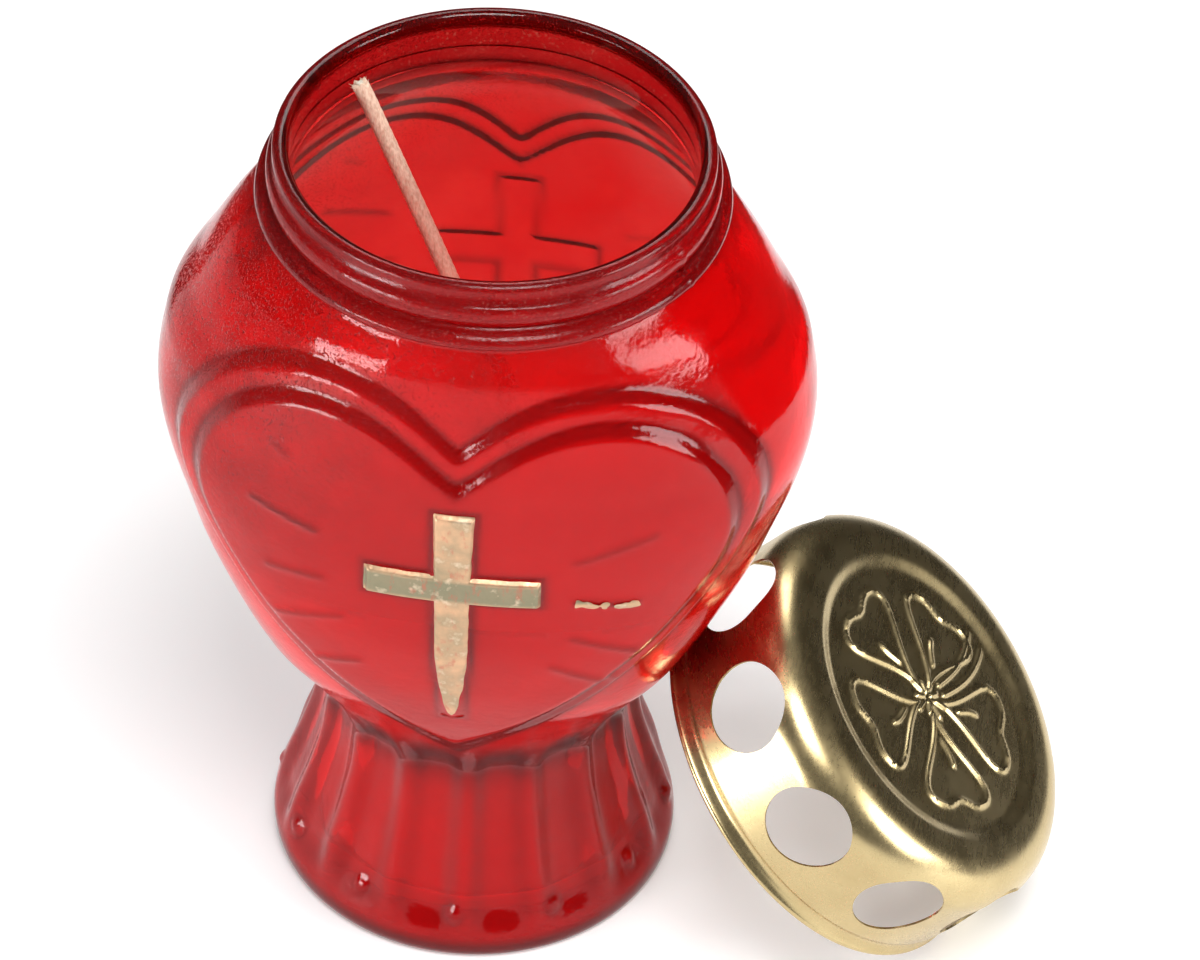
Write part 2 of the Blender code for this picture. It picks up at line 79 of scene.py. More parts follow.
# height, half width, half depth, squareness (2 is an ellipse)
BODY_SECTIONS = (
    (WAIST_HEIGHT, WAIST_RADIUS, WAIST_RADIUS, 2.0),
    (0.0470, 0.0314, 0.0308, 2.1),
    (0.0550, 0.0352, 0.0336, 2.4),
    (0.0640, 0.0400, 0.0369, 2.7),
    (0.0760, 0.0460, 0.0402, 2.6),
    (0.0900, 0.0521, 0.0424, 2.4),
    (0.1120, 0.0576, 0.0432, 2.2),
    (0.1230, 0.0561, 0.0430, 2.1),
    (0.1330, 0.0507, 0.0421, 2.1),
    (0.1430, 0.0447, 0.0408, 2.0),
    (NECK_BASE, 0.0381, 0.0381, 2.0),
)
FOOT_SECTIONS = (           # height, radius
    (0.0040, FOOT_RADIUS),
    (0.0120, 0.0360),
    (0.0220, 0.0327),
    (0.0310, 0.0303),
    (WAIST_HEIGHT, WAIST_RADIUS),
)

# ------------ glass: what was pressed into it
AROUND = 384                # points round every ring
FRONT_BIAS = 0.25           # how much closer they stand at the front than at the sides
BODY_RINGS = 140
FOOT_RINGS = 35
FOOT_EDGE_RINGS = 7
BEAD_RINGS = 9
CAVITY_RINGS = 30
FLUTES = 16
FLUTE_DEPTH = 0.0016
FLUTE_SHARPNESS = 2.0       # narrow ribs between broad panels
FLUTE_TURN = math.radians(3.75)
FLUTE_START = (0.004, 0.012)      # they fade in between these heights, and out between the next
FLUTE_END = (0.038, 0.052)
STUDS = 12                  # round the foot's edge
STUD_HEIGHT = 0.0100
STUD_RADIUS = 0.0017
STUD_RISE = 0.0007
STUD_TURN = math.radians(1.0)
STUD_CORNER = (1.15, 0.3)   # where painted shade lies round one and how widely, in its radii
PUSH_UP = 0.0012            # the underside is hollowed this much
PUSH_UP_RADIUS = 0.0310
UNDERSIDE_RADII = (0.0015, 0.006, 0.011, 0.016, 0.021, 0.025, 0.028, PUSH_UP_RADIUS, 0.0335)
SEAM_TURN = math.radians(-28.0)    # where the halves of the neck's mould met
SEAM_RISE = 0.00022
SEAM_HALF_WIDTH = 0.00055
SEAM_START = (NECK_BASE + 0.001, NECK_BASE + 0.003)

# place, handle towards the last point, handle towards the next; the right half, from the notch down
OUTER_HEART = (
    ((0.0000, 0.1314), (0.0000, 0.0000), (0.0080, 0.0080)),
    ((0.0210, 0.1420), (-0.0090, 0.0000), (0.0140, 0.0000)),
    ((0.0512, 0.1130), (0.0000, 0.0130), (0.0000, -0.0150)),
    ((0.0000, 0.0480), (0.0190, 0.0150), (0.0000, 0.0000)),
)
INNER_HEART = (
    ((0.0000, 0.1220), (0.0000, 0.0000), (0.0080, 0.0075)),
    ((0.0212, 0.1345), (-0.0080, 0.0000), (0.0120, 0.0000)),
    ((0.0438, 0.1105), (0.0000, 0.0120), (0.0000, -0.0135)),
    ((0.0000, 0.0560), (0.0165, 0.0130), (0.0000, 0.0000)),
)
OUTER_BEVEL = (0.00, 0.30, 0.0013)    # start and end across the border, rise
INNER_BEVEL = (0.70, 1.00, 0.0012)
BEVEL_ROUNDING = 0.3
BORDER_WIDTH = 0.0075       # about how far apart the two outlines are
RELIEF_START = 0.0460       # all of the relief is above this height

CROSS_TOP = 0.1193
CROSS_FOOT = 0.0674
CROSS_HALF_WIDTH = 0.0031
CROSS_TAPER = 0.0860        # below this the shaft narrows faster
CROSS_SHAFT_HALF_WIDTH = 0.0027
CROSS_FOOT_HALF_WIDTH = 0.0014
ARM_LENGTH = 0.0143
ARM_HEIGHT = 0.1028
ARM_HALF_WIDTH = 0.0027
CROSS_RISE = 0.0009
CROSS_SLOPE = 0.0007        # width of its sloping edges

# fine rays pressed beside the cross: the two ends of each, on the front, and its rise
RAYS = (
    ((-0.0342, 0.1126), (-0.0234, 0.1103), 0.00045),
    ((-0.0315, 0.0984), (-0.0224, 0.0995), 0.00030),
    ((-0.0298, 0.0872), (-0.0188, 0.0912), 0.00028),
    ((-0.0234, 0.0780), (-0.0161, 0.0802), 0.00026),
    ((-0.0306, 0.1253), (-0.0283, 0.1240), 0.00030),
    ((0.0202, 0.1097), (0.0324, 0.1137), 0.00026),
    ((0.0206, 0.1004), (0.0301, 0.0989), 0.00040),
    ((0.0201, 0.0912), (0.0302, 0.0865), 0.00032),
    ((0.0169, 0.0839), (0.0271, 0.0779), 0.00028),
)
RAY_HALF_WIDTH = 0.0007

# ------------ glass: where it gets painted shade
# how dark the painted shade is, from 0 to 1
CORNER_SHADE = 0.85       # at the corners of the heart's border
SLOPE_SHADE = 0.6
LOW_BORDER_SHADE = 0.85
CROSS_SHADE = 0.8
RIB_SHADE = 0.3
STUD_SHADE = 0.25
WAIST_SHADE = 0.75
FOOT_SHADE = 0.6
# places across the border, in its widths
CORNER_REACH = 0.10         # how far the painted shade reaches beside a corner
SLOPE_IN = (-0.08, 0.04)    # how softly it starts at the foot of a slope and stops at its top
SLOPE_OUT = (-0.10, 0.04)
LOW_SHADE_IN = (0.00, 0.10)      # and the same for the painted shade low on the border
LOW_SHADE_OUT = (0.90, 1.05)
LOW_BORDER = (0.060, 0.088)    # between these heights the painted shade on the border fades out upwards
FULL_RAY = 0.0005           # a ray this high gets the darkest painted shade
WAIST_RING = (0.0430, 0.0055)    # height and half height of the painted shade ring over the waist
FOOT_BAND = (0.0015, 0.0050)     # the painted shade band at the foot's edge ends between these heights
NECK_BAND = (NECK_BASE + 0.0005, 0.0011)    # the neck's lowest height, and how far out from its wall the painted shade in its grooves reaches

# ------------ gold paint on the front cross
PAINT_LIFT = 0.00012        # its underside over the glass
PAINT_THICKNESS = 0.00014
PAINT_GRID = 0.00022
PAINT_REACH = PAINT_GRID / 3    # how far an edge point may move at once when the outline is cut
PAINT_SHAFT = (             # height, half width
    (0.0692, 0.0000),
    (0.0700, 0.0006),
    (0.0725, 0.0012),
    (0.0790, 0.0021),
    (0.0860, 0.0027),
    (0.1000, 0.0028),
    (0.1197, 0.0033),
)
PAINT_ARMS = (-0.0149, 0.0145)    # their ends
PAINT_ARM_HALF_WIDTH = 0.0029
PAINT_BELOW_TIP = -0.001    # the shaft's half width under its tip, where there is none
PAINT_AREA = (-0.0165, 0.0165, 0.0680, 0.1215)    # left, right, bottom and top of what it is cut from
PAINT_WOBBLE = (0.00007, 3.1, 330)    # how uneven its edge is: by how much, seed, scale
SMUDGE_RAY = 6              # the ray that the gold roller touched
SMUDGE_HALF_WIDTH = 0.00045
SMUDGE_WOBBLE = (0.0006, 8.7, 900)
SMUDGE_MARGIN = (0.0010, 0.0014)

# ------------ candle
WAX_LEVEL = 0.0880
WAX_GAP = 0.0003
MENISCUS = 0.0011           # how far the wax climbs the glass, and half as far up the wick
MENISCUS_WIDTH = 0.0022
WAX_RIPPLE = (0.00025, 5.0, 90)    # height, seed, scale
WAX_RINGS = 60
WAX_CROWDING = 1.6          # the rings on its top stand closer together near the glass
WAX_MIDDLE = 0.004          # its smallest ring, as a share of the largest
WICK_RADIUS = 0.0015
WICK_WALL = 0.0006
WICK_AROUND = 40
WICK_STEP = 0.00035
ROUTE_STEPS = 20            # places worked out between two points of its route
WICK_STRANDS = 8
BRAID_PITCH = 0.0085
BRAID_RELIEF = 0.00016
TIP_TAPER = (0.10, 0.0005)  # share by which the tip narrows, over what length
TIP_FLARE = (0.00018, 0.0018)     # how far its strands spread, over what length
TIP_RAGGED = 0.0006
TIP_STEPS = (0.3, 0.7, 1.0)       # how much of that each of the last rings takes
BORE_STEP = 4               # the bore has a ring at every fourth point of the route
BORE_DIP = 0.0007
FIBRES = 14
FIBRE_SEED = 7
FIBRE_JITTER = 0.3          # how unevenly they stand round the tip, as a share of their spacing
FIBRE_SIDES = 5
FIBRE_RINGS = 6
FIBRE_RADIUS = 0.00011
FIBRE_TAPER = 0.85
FIBRE_LENGTHS = (0.0006, 0.0015)
FIBRE_SPREADS = (0.1, 0.7)
FIBRE_ROOT = (0.8, 0.0012)  # how far out, in the wick's radii, and how far down from its tip
WICK_EXIT = 4               # the route's point where it leaves the wax
WICK_ROUTE = (              # from the sustainer up through the wax, then leaning free
    (0.0000, 0.0000, 0.0064),
    (0.0000, 0.0000, 0.0200),
    (0.0012, 0.0010, 0.0450),
    (0.0045, 0.0038, 0.0700),
    (0.0062, 0.0055, 0.0860),
    (0.0020, 0.0066, 0.1000),
    (-0.0087, 0.0085, 0.1265),
    (-0.0247, 0.0116, 0.1638),
)

# ------------ cap
CAP_AROUND = 360
PANEL_RINGS = 58
CLIMB_RINGS = 11
SHOULDER_RINGS = 17
SKIRT_RINGS = 36
GROOVE_RINGS = 9
ROLL_RINGS = 10
CAP_SHEET = 0.0004
CAP_RADIUS = 0.0392
CAP_HEIGHT = 0.0280
CAP_SHOULDER = 0.0078
CAP_LEAN = math.radians(46.7)    # the cap's axis above the floor
CAP_TURN = math.radians(-4.0)    # and round from +X
PANEL_DEPTH = 0.0010
PANEL_MIDDLE = 0.0004       # radius of its smallest ring
PANEL_FLAT = 0.0254         # radius of the sunk panel's flat part
PANEL_RIM = 0.0290          # radius where its wall reaches the top
PANEL_DOME = 0.0002
GROOVE_DEPTH = 0.00035
GROOVE_SPAN = (0.0046, 0.0024)    # heights between which the skirt is grooved
RIM_CENTRE = (0.0391, 0.0010)     # radius and height of the rolled rim's middle
RIM_ROLL = 0.0007
RIM_ROLL_SPAN = (60, -100)  # degrees over and under straight out
VENTS = 10
VENT_RADIUS = 0.0082
VENT_HEIGHT = 0.0162
VENT_REACH = 0.0006         # how far an edge point may move at once when the vents are cut
EMBOSS_RISE = 0.00055
EMBOSS_HALF_WIDTH = 0.00052
PETALS = 5
PETAL_TURN = math.radians(20)
PETAL_ROOT = 0.0034
PETAL_LENGTH = 0.0186
PETAL_WIDTH = 0.0104
PETAL_POINTS = 44
PETAL_NOTCH = (0.10, 0.05)  # depth and width of the notch in its tip, as shares of its outline
PETAL_FULLNESS = 0.9        # below 1 it is blunter
PETAL_NARROWING = 0.65      # how much it narrows towards its root
VEIN_POINTS = 6
VEIN = (0.005, 0.010, 0.10)    # start and end past the petal's root, bend
STAMENS = 9
STAMEN_SPANS = ((0.0019, 0.0042), (0.0012, 0.0030))
STAMEN_TURN = 0.3           # as a share of the step between two
STEM = (0.0052, 0.0242)     # radii of its two ends
STEM_POINTS = 14
STEM_HALF_WIDTH = 0.0008
STEM_SPREAD = 0.05
STEM_BEND = 0.25

# ------------ meshes
CRISP_ANGLE = math.radians(50)    # an edge at least this sharp stays crisp
TRIM_PASSES = 3
TRIM_STEP = 1e-6            # how far apart two values are taken for an outline's slope
TRIM_STEEPNESS = 0.2        # the least squared slope that is trusted


def unit(vectors):
    return vectors / np.maximum(np.linalg.norm(vectors, axis=-1, keepdims=True), 1e-12)


def monotone(knots, values, at):
    """A smooth curve through the values that never swings past them."""
    step = np.diff(knots)
    slope = np.diff(values) / step
    tangent = np.concatenate(([slope[0]], np.zeros(len(slope) - 1), [slope[-1]]))
    product = slope[:-1] * slope[1:]
    turning = product > 0
    tangent[1:-1][turning] = 2 * product[turning] / (slope[:-1] + slope[1:])[turning]
    index = np.clip(np.searchsorted(knots, at, side="right") - 1, 0, len(step) - 1)
    u = (at - knots[index]) / step[index]
    width = step[index]
    return (
        values[index] * (2 * u**3 - 3 * u**2 + 1)
        + values[index + 1] * (3 * u**2 - 2 * u**3)
        + tangent[index] * width * (u**3 - 2 * u**2 + u)
        + tangent[index + 1] * width * (u**3 - u**2)
    )


def body_section(heights, offset=0.0):
    """Half width, half depth and squareness of the glass at heights, grown by an offset."""
    knots, widths, depths, squareness = np.array(BODY_SECTIONS).T
    return (
        monotone(knots, widths, heights) + offset,
        monotone(knots, depths, heights) + offset,
        monotone(knots, squareness, heights),
    )


def foot_radius(heights):
    knots, radii = np.array(FOOT_SECTIONS).T
    return monotone(knots, radii, np.clip(heights, knots[0], knots[-1]))


def smooth(value, low, high):
    """0 below low, 1 above high, and a smooth step between them."""
    t = np.clip((value - low) / (high - low), 0, 1)
    return t * t * (3 - 2 * t)


def bevel(across, start, end):
    """0 before start, 1 past end, and nearly straight between them, so that it keeps crisp edges."""
    t = np.clip((across - start) / (end - start), 0, 1)
    return (1 - BEVEL_ROUNDING) * t + BEVEL_ROUNDING * t * t * (3 - 2 * t)


def heart_points(heart, steps=40):
    """The right half of a heart's outline as points."""
    points = []
    for (start, _, leaving), (end, arriving, _) in zip(heart, heart[1:]):
        corners = np.array([start, np.add(start, leaving), np.add(end, arriving), end])
        t = np.linspace(0, 1, steps)[:, None]
        weights = ((1 - t) ** 3, 3 * t * (1 - t) ** 2, 3 * t * t * (1 - t), t**3)
        points.append(sum(w * corner for w, corner in zip(weights, corners)))
    return np.vstack(points)


def distance_to_line(x, z, line):
    """Distance from each point to the nearest stretch of a line of points."""
    nearest = np.full(x.shape, np.inf)
    for (ax, az), (bx, bz) in zip(line, line[1:]):
        length_squared = (bx - ax) ** 2 + (bz - az) ** 2
        if length_squared == 0:
            continue
        t = np.clip(((x - ax) * (bx - ax) + (z - az) * (bz - az)) / length_squared, 0, 1)
        gap = (x - ax - t * (bx - ax)) ** 2 + (z - az - t * (bz - az)) ** 2
        nearest = np.minimum(nearest, gap)
    return np.sqrt(nearest)


def heart_depth(x, z, heart):
    """Distance inside a heart's outline, or minus the distance outside it."""
    x = np.abs(x)
    line = heart_points(heart)
    inside = np.zeros(x.shape, bool)
    for (ax, az), (bx, bz) in zip(line, line[1:]):
        if az != bz:
            level = (az > z) != (bz > z)
            inside ^= level & (x < ax + (z - az) * (bx - ax) / (bz - az))
    distance = distance_to_line(x, z, line)
    return np.where(inside, distance, -distance)


def cross_depth(x, z):
    """Distance inside the cross's outline, or minus about the distance outside it."""
    heights = (CROSS_FOOT, CROSS_TAPER, CROSS_TOP)
    half_width = np.interp(z, heights, (CROSS_FOOT_HALF_WIDTH, CROSS_SHAFT_HALF_WIDTH, CROSS_HALF_WIDTH))
    shaft = np.minimum(half_width - np.abs(x), np.minimum(CROSS_TOP - z, z - CROSS_FOOT))
    arms = np.minimum(ARM_LENGTH - np.abs(x), ARM_HALF_WIDTH - np.abs(z - ARM_HEIGHT))
    return np.maximum(shaft, arms)


def ray_height(x, z):
    """The fine rays, highest in the middle of each and gone at its ends."""
    height = np.zeros(x.shape)
    for start, end, rise in RAYS:
        line = np.array([start, end])
        away = distance_to_line(x, z, line) / RAY_HALF_WIDTH
        height = np.maximum(height, rise * np.exp(-away**2))
    return height


def across_border(x, z):
    """0 at the outside of the heart's border, 1 at its inside, and on past both in its widths."""
    outer = heart_depth(x, z, OUTER_HEART)
    inner = heart_depth(x, z, INNER_HEART)
    across = np.where(inner > 0, 1.0 + inner / BORDER_WIDTH, outer / np.maximum(outer - inner, 1e-9))
    return np.where(outer > 0, across, outer / BORDER_WIDTH)


def relief_height(x, z):
    """How far the pressed heart, cross and rays stand out of the plain body."""
    across = across_border(x, z)
    height = sum(rise * bevel(across, start, end) for start, end, rise in (OUTER_BEVEL, INNER_BEVEL))
    height += CROSS_RISE * smooth(cross_depth(x, z), -CROSS_SLOPE / 2, CROSS_SLOPE / 2)
    return height + ray_height(x, z)


def relief_painted_shade(x, z):
    """Painted shade in the corners and on the slopes of the relief, low on the border, along the cross and
    on the rays, from 0 to 1.
    """
    across = across_border(x, z)
    painted_shade = np.zeros(x.shape)
    for start, end, _ in (OUTER_BEVEL, INNER_BEVEL):
        slope = smooth(across - start, *SLOPE_IN) * (1 - smooth(across - end, *SLOPE_OUT))
        corner = np.exp(-(((across - start) / CORNER_REACH) ** 2))
        painted_shade = np.maximum(painted_shade, np.maximum(SLOPE_SHADE * slope, CORNER_SHADE * corner))
    low_shade = LOW_BORDER_SHADE * (1 - smooth(z, *LOW_BORDER)) * smooth(across, *LOW_SHADE_IN)
    painted_shade = np.maximum(painted_shade, low_shade * (1 - smooth(across, *LOW_SHADE_OUT)))
    cross = np.exp(-(((cross_depth(x, z) + CROSS_SLOPE) / CROSS_SLOPE) ** 2))
    rays = ray_height(x, z) / FULL_RAY
    return np.clip(np.maximum(painted_shade, np.maximum(CROSS_SHADE * cross, rays)), 0, 1)


def ring_angles():
    """Angles round a ring, closer together at the front."""
    turn = 2 * math.pi * np.arange(AROUND) / AROUND
    return turn - FRONT_BIAS * np.cos(turn)


def ring_points(section):
    """Points of rings from rows of height, half width, half depth and squareness."""
    height, half_width, half_depth, squareness = (column[:, None] for column in section.T)
    angle = ring_angles()[None, :]
    across, along = np.cos(angle), np.sin(angle)
    x = np.sign(across) * np.abs(across) ** (2 / squareness) * half_width
    y = np.sign(along) * np.abs(along) ** (2 / squareness) * half_depth
    return np.stack((x, y, np.broadcast_to(height, x.shape)), axis=-1)


def round_section(heights, radii):
    """Rows for round rings."""
    radii = np.asarray(radii)
    return np.column_stack((heights, radii, radii, np.full(len(radii), 2.0)))


def bulge(centre, half_height, reach, start, stop, steps):
    """Rows on part of an ellipse about (height, radius), angles from straight out."""
    height, radius = centre
    turns = np.radians(np.linspace(start, stop, steps))
    return round_section(height + half_height * np.sin(turns), radius + reach * np.cos(turns))


def outer_sections():
    """Rows from the middle of the underside up to the top of the lip."""
    radii = np.array(UNDERSIDE_RADII)
    hollow = PUSH_UP * (1 - np.clip(radii / PUSH_UP_RADIUS, 0, 1) ** 3)
    edge_middle = (FOOT_EDGE_HEIGHT, FOOT_RADIUS - FOOT_EDGE)
    edge = bulge(edge_middle, FOOT_EDGE_HEIGHT, FOOT_EDGE, -90, 0, FOOT_EDGE_RINGS)
    foot_heights = np.linspace(FOOT_WALL_START, WAIST_HEIGHT, FOOT_RINGS + 1)[:-1]
    body_heights = np.linspace(WAIST_HEIGHT, NECK_BASE, BODY_RINGS)
    beads = [
        bulge((height, NECK_RADIUS), half_height, radius - NECK_RADIUS, -90, 90, BEAD_RINGS)
        for height, half_height, radius in (LOWER_BEAD, UPPER_BEAD)
    ]
    return np.vstack((
        round_section(hollow, radii),
        edge,
        round_section(foot_heights, foot_radius(foot_heights)),
        np.column_stack((body_heights, *body_section(body_heights))),
        *beads,
    ))


def lip_sections():
    """Rows over the rounded lip, from the outside in."""
    middle = (MOUTH_RADIUS + NECK_RADIUS) / 2
    half_lip = (NECK_RADIUS - MOUTH_RADIUS) / 2
    return bulge((GLASS_HEIGHT - LIP_ROUNDING, middle), LIP_ROUNDING, half_lip, 0, 180, LIP_RINGS)


def inner_sections(top=None):
    """Rows down the inside, from the mouth or from a height in the body, to the middle of the floor."""
    heights = np.linspace(CAVITY_TOP, WAIST_HEIGHT, CAVITY_RINGS)
    rows = []
    if top is None:
        rows.append(round_section(MOUTH_HEIGHTS, [MOUTH_RADIUS] * len(MOUTH_HEIGHTS)))
    else:
        heights = np.concatenate(([top], heights[heights < top]))
    rows.append(np.column_stack((heights, *body_section(heights, -WALL))))
    foot_radii = foot_radius(np.array(CAVITY_FOOT_HEIGHTS)) - WALL - FLUTE_DEPTH / 2
    rows.append(round_section(CAVITY_FOOT_HEIGHTS, foot_radii))
    corner = FOOT_RADIUS - WALL - CORNER_INSET
    floor_radii = [corner + CORNER_CUT / 2, corner - CORNER_CUT, *FLOOR_RADII]
    floor_heights = [FLOOR_THICKNESS + CORNER_CUT, *[FLOOR_THICKNESS] * 3]
    rows.append(round_section(floor_heights, floor_radii))
    return np.vstack(rows)


def grid_normals(points):
    """Unit normals of a grid of rings whose points run anticlockwise and that climb its outside."""
    around = np.roll(points, -1, axis=1) - np.roll(points, 1, axis=1)
    up = np.gradient(points, axis=0)
    return unit(np.cross(around, up))


def flute_depth(angle, height):
    """How deep the foot's panels lie below its ribs."""
    rib = np.abs(np.cos(FLUTES / 2 * (angle - FLUTE_TURN))) ** (2 * FLUTE_SHARPNESS)
    fade = smooth(height, *FLUTE_START) * (1 - smooth(height, *FLUTE_END))
    return FLUTE_DEPTH * (1 - rib) * fade


def stud_distance(angle, height):
    """How far a point is from the middle of the nearest stud, in the stud's radii."""
    step = 2 * math.pi / STUDS
    offset = (angle - STUD_TURN + math.pi / 2 + step / 2) % step - step / 2
    return np.hypot(offset * foot_radius(height), height - STUD_HEIGHT) / STUD_RADIUS


def stud_height(angle, height):
    """Small round studs near the foot's edge."""
    return STUD_RISE * np.sqrt(np.clip(1 - stud_distance(angle, height) ** 2, 0, 1))


def rib_sides(angle, height):
    """1 on the sides of the foot's ribs, where painted shade lies."""
    rib = 1 - flute_depth(angle, height) / FLUTE_DEPTH
    return np.clip(4 * rib * (1 - rib), 0, 1)


def stud_rim(angle, height):
    """1 in the corner round each stud, where painted shade lies."""
    corner, width = STUD_CORNER
    return np.exp(-(((stud_distance(angle, height) - corner) / width) ** 2))


def seam_height(angle, height):
    """The line left on the neck where the halves of its mould met."""
    offset = (angle - SEAM_TURN + math.pi / 2) % math.pi - math.pi / 2
    away = offset * NECK_RADIUS / SEAM_HALF_WIDTH
    return SEAM_RISE * np.exp(-away**2) * smooth(height, *SEAM_START)


def add_object(name, data):
    thing = bpy.data.objects.new(name, data)
    bpy.context.scene.collection.objects.link(thing)
    return thing


def skin(ids):
    """Faces between each ring of point numbers and the next."""
    after = np.roll(ids, -1, axis=1)
    return np.stack((ids[:-1], after[:-1], after[1:], ids[1:]), axis=-1).reshape(-1, 4).tolist()


def closed_skin(ids):
    """The same, and a face over each end."""
    return skin(ids) + [ids[0, ::-1].tolist(), ids[-1].tolist()]


def mesh_object(name, points, faces=None):
    """An object from points; without faces the points are rings, and get a closed skin."""
    if faces is None:
        faces = closed_skin(np.arange(points[..., 0].size).reshape(points.shape[:2]))
    mesh = bpy.data.meshes.new(name)
    mesh.from_pydata(points.reshape(-1, 3).tolist(), [], faces)
    mesh.shade_smooth()
    return add_object(name, mesh)


def dress(piece, body, material, stands_for=None):
    """Give a new piece its material, the body that it moves with and the node it replaces."""
    piece.data.materials.clear()
    piece.data.materials.append(material)
    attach(piece, body)
    if stands_for:
        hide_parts(stands_for)


def glass_points():
    """Rings of the whole glass, from the underside over the lip to the floor inside.

    With them comes how dark the painted shade is at each point.
    """
    section = outer_sections()
    points = ring_points(section)
    angle = np.broadcast_to(ring_angles()[None, :], points.shape[:2])
    height = points[..., 2]
    rise = stud_height(angle, height) + seam_height(angle, height) - flute_depth(angle, height)
    on_body = (height > RELIEF_START) & (height < NECK_BASE)
    rise[on_body] += relief_height(points[..., 0][on_body], height[on_body])
    # painted shade: round the studs, on the sides of the foot's ribs, in a ring over the waist, in a band at
    # the foot's edge, along the relief and in the grooves of the neck
    painted_shade = STUD_SHADE * stud_rim(angle, height) + RIB_SHADE * rib_sides(angle, height)
    waist_middle, waist_reach = WAIST_RING
    painted_shade += WAIST_SHADE * np.exp(-(((height - waist_middle) / waist_reach) ** 2))
    painted_shade += FOOT_SHADE * (1 - smooth(height, *FOOT_BAND))
    painted_shade[on_body] += relief_painted_shade(points[..., 0][on_body], height[on_body])
    neck_start, neck_reach = NECK_BAND
    on_neck = height > neck_start
    neck_radius = np.hypot(points[..., 0], points[..., 1])[on_neck]
    painted_shade[on_neck] += 1 - smooth(neck_radius, NECK_RADIUS, NECK_RADIUS + neck_reach)
    points = points + grid_normals(points) * rise[..., None]
    inside = ring_points(np.vstack((lip_sections(), inner_sections())))
    return np.concatenate((points, inside)), np.concatenate((painted_shade, np.zeros(inside.shape[:2])))


def make_glass():
    """The lacquer is on the outside only, so the faces inside the mouth are bare glass."""
    points, painted_shade = glass_points()
    glass = mesh_object("red_glass_body", points)
    # the attribute named lacquer carries the painted shade
    thickness = glass.data.attributes.new("lacquer", "FLOAT", "POINT")
    thickness.data.foreach_set("value", painted_shade.clip(0, 1).ravel())
    dress(glass, "glass", red_glass_material(), "glass_body")
    glass.data.materials.append(bare_glass_material())
    outside = (len(outer_sections()) + LIP_RINGS // 2) * AROUND
    slots = [int(face.vertices[0] >= outside) for face in glass.data.polygons]
    glass.data.polygons.foreach_set("material_index", slots)


# ------------ cut sheets
def grid(first, second):
    """Parameter pairs on a grid, and its faces."""
    pairs = np.stack(np.meshgrid(first, second, indexing="ij"), axis=-1)
    ids = np.arange(pairs.shape[0] * pairs.shape[1]).reshape(pairs.shape[:2])
    faces = np.stack((ids[:-1, :-1], ids[1:, :-1], ids[1:, 1:], ids[:-1, 1:]), axis=-1)
    return pairs.reshape(-1, 2), faces.reshape(-1, 4)


def trim(pairs, faces, keep, reach):
    """Drop the faces where keep is negative and draw the cut's edge to where keep is zero.

    No point moves further than reach in each of the passes.
    """
    stays = keep(pairs)[faces].mean(axis=1) > 0
    edge = np.intersect1d(faces[stays], faces[~stays])
    for _ in range(TRIM_PASSES):
        value = keep(pairs[edge])
        steps = [keep(pairs[edge] + axis * TRIM_STEP) - value for axis in np.eye(2)]
        slope = np.stack(steps, axis=-1) / TRIM_STEP
        steepness = np.maximum((slope**2).sum(axis=1), TRIM_STEEPNESS)
        move = slope * (value / steepness)[:, None]
        length = np.linalg.norm(move, axis=1, keepdims=True)
        pairs[edge] -= move * np.minimum(1, reach / np.maximum(length, 1e-12))
    used, faces = np.unique(faces[stays], return_inverse=True)
    return pairs[used], faces.reshape(-1, 4)


def thicken(thing, thickness, offset):
    """Give an open sheet its thickness, and crisp cut edges."""
    wall = thing.modifiers.new("Wall", "SOLIDIFY")
    wall.thickness = thickness
    wall.offset = offset
    bpy.context.view_layer.update()
    evaluated = thing.evaluated_get(bpy.context.evaluated_depsgraph_get())
    thick = bpy.data.meshes.new_from_object(evaluated)
    thing.modifiers.clear()
    thing.data = thick
    thick.set_sharp_from_angle(angle=CRISP_ANGLE)


# ------------ gold paint
def uneven(x, y, seed, scale):
    """Smooth uneven values between about -0.5 and 0.5, one for each place."""
    return np.array([noise.noise(Vector((u * scale, v * scale, seed))) for u, v in zip(x, y)])


def wobble(x, z, size, seed, scale):
    """How far an uneven edge strays at each place, at most about size."""
    return size * 2 * uneven(x, z, seed, scale)


def front_points(x, z, lift):
    """Points on the front of the glass, lifted from it."""
    step = 1e-5

    def plain(x, z):
        half_width, half_depth, squareness = body_section(z)
        y = -half_depth * (1 - np.abs(x / half_width) ** squareness) ** (1 / squareness)
        return np.stack((x, y, z), axis=-1)

    here = plain(x, z)
    normal = unit(np.cross(plain(x + step, z) - here, plain(x, z + step) - here))
    return here + normal * (relief_height(x, z) + lift)[:, None]


def paint_depth(pairs):
    """Distance inside the painted cross, with an uneven edge."""
    x, z = pairs.T
    heights, widths = np.array(PAINT_SHAFT).T
    half_width = np.interp(z, heights, widths, left=PAINT_BELOW_TIP)
    shaft = np.minimum(half_width - np.abs(x), heights[-1] - z)
    left, right = PAINT_ARMS
    arms = np.minimum(np.minimum(x - left, right - x), PAINT_ARM_HALF_WIDTH - np.abs(z - ARM_HEIGHT))
    return np.maximum(shaft, arms) + wobble(x, z, *PAINT_WOBBLE)


def smudge_depth(pairs):
    """Distance inside the flecks of gold left along one of the rays."""
    x, z = pairs.T
    start, end, _ = RAYS[SMUDGE_RAY]
    away = distance_to_line(x, z, np.array([start, end]))
    return SMUDGE_HALF_WIDTH - away + wobble(x, z, *SMUDGE_WOBBLE)


def make_film(name, keep, area, stands_for=None):
    """A film of gold on the front, cut from an area to where keep is positive."""
    left, right, bottom, top = area
    across = np.arange(left, right, PAINT_GRID)
    up = np.arange(bottom, top, PAINT_GRID)
    pairs, faces = trim(*grid(across, up), keep, PAINT_REACH)
    film = mesh_object(name, front_points(*pairs.T, PAINT_LIFT), faces.tolist())
    thicken(film, PAINT_THICKNESS, 1.0)
    dress(film, "glass", gold_paint_material(), stands_for)


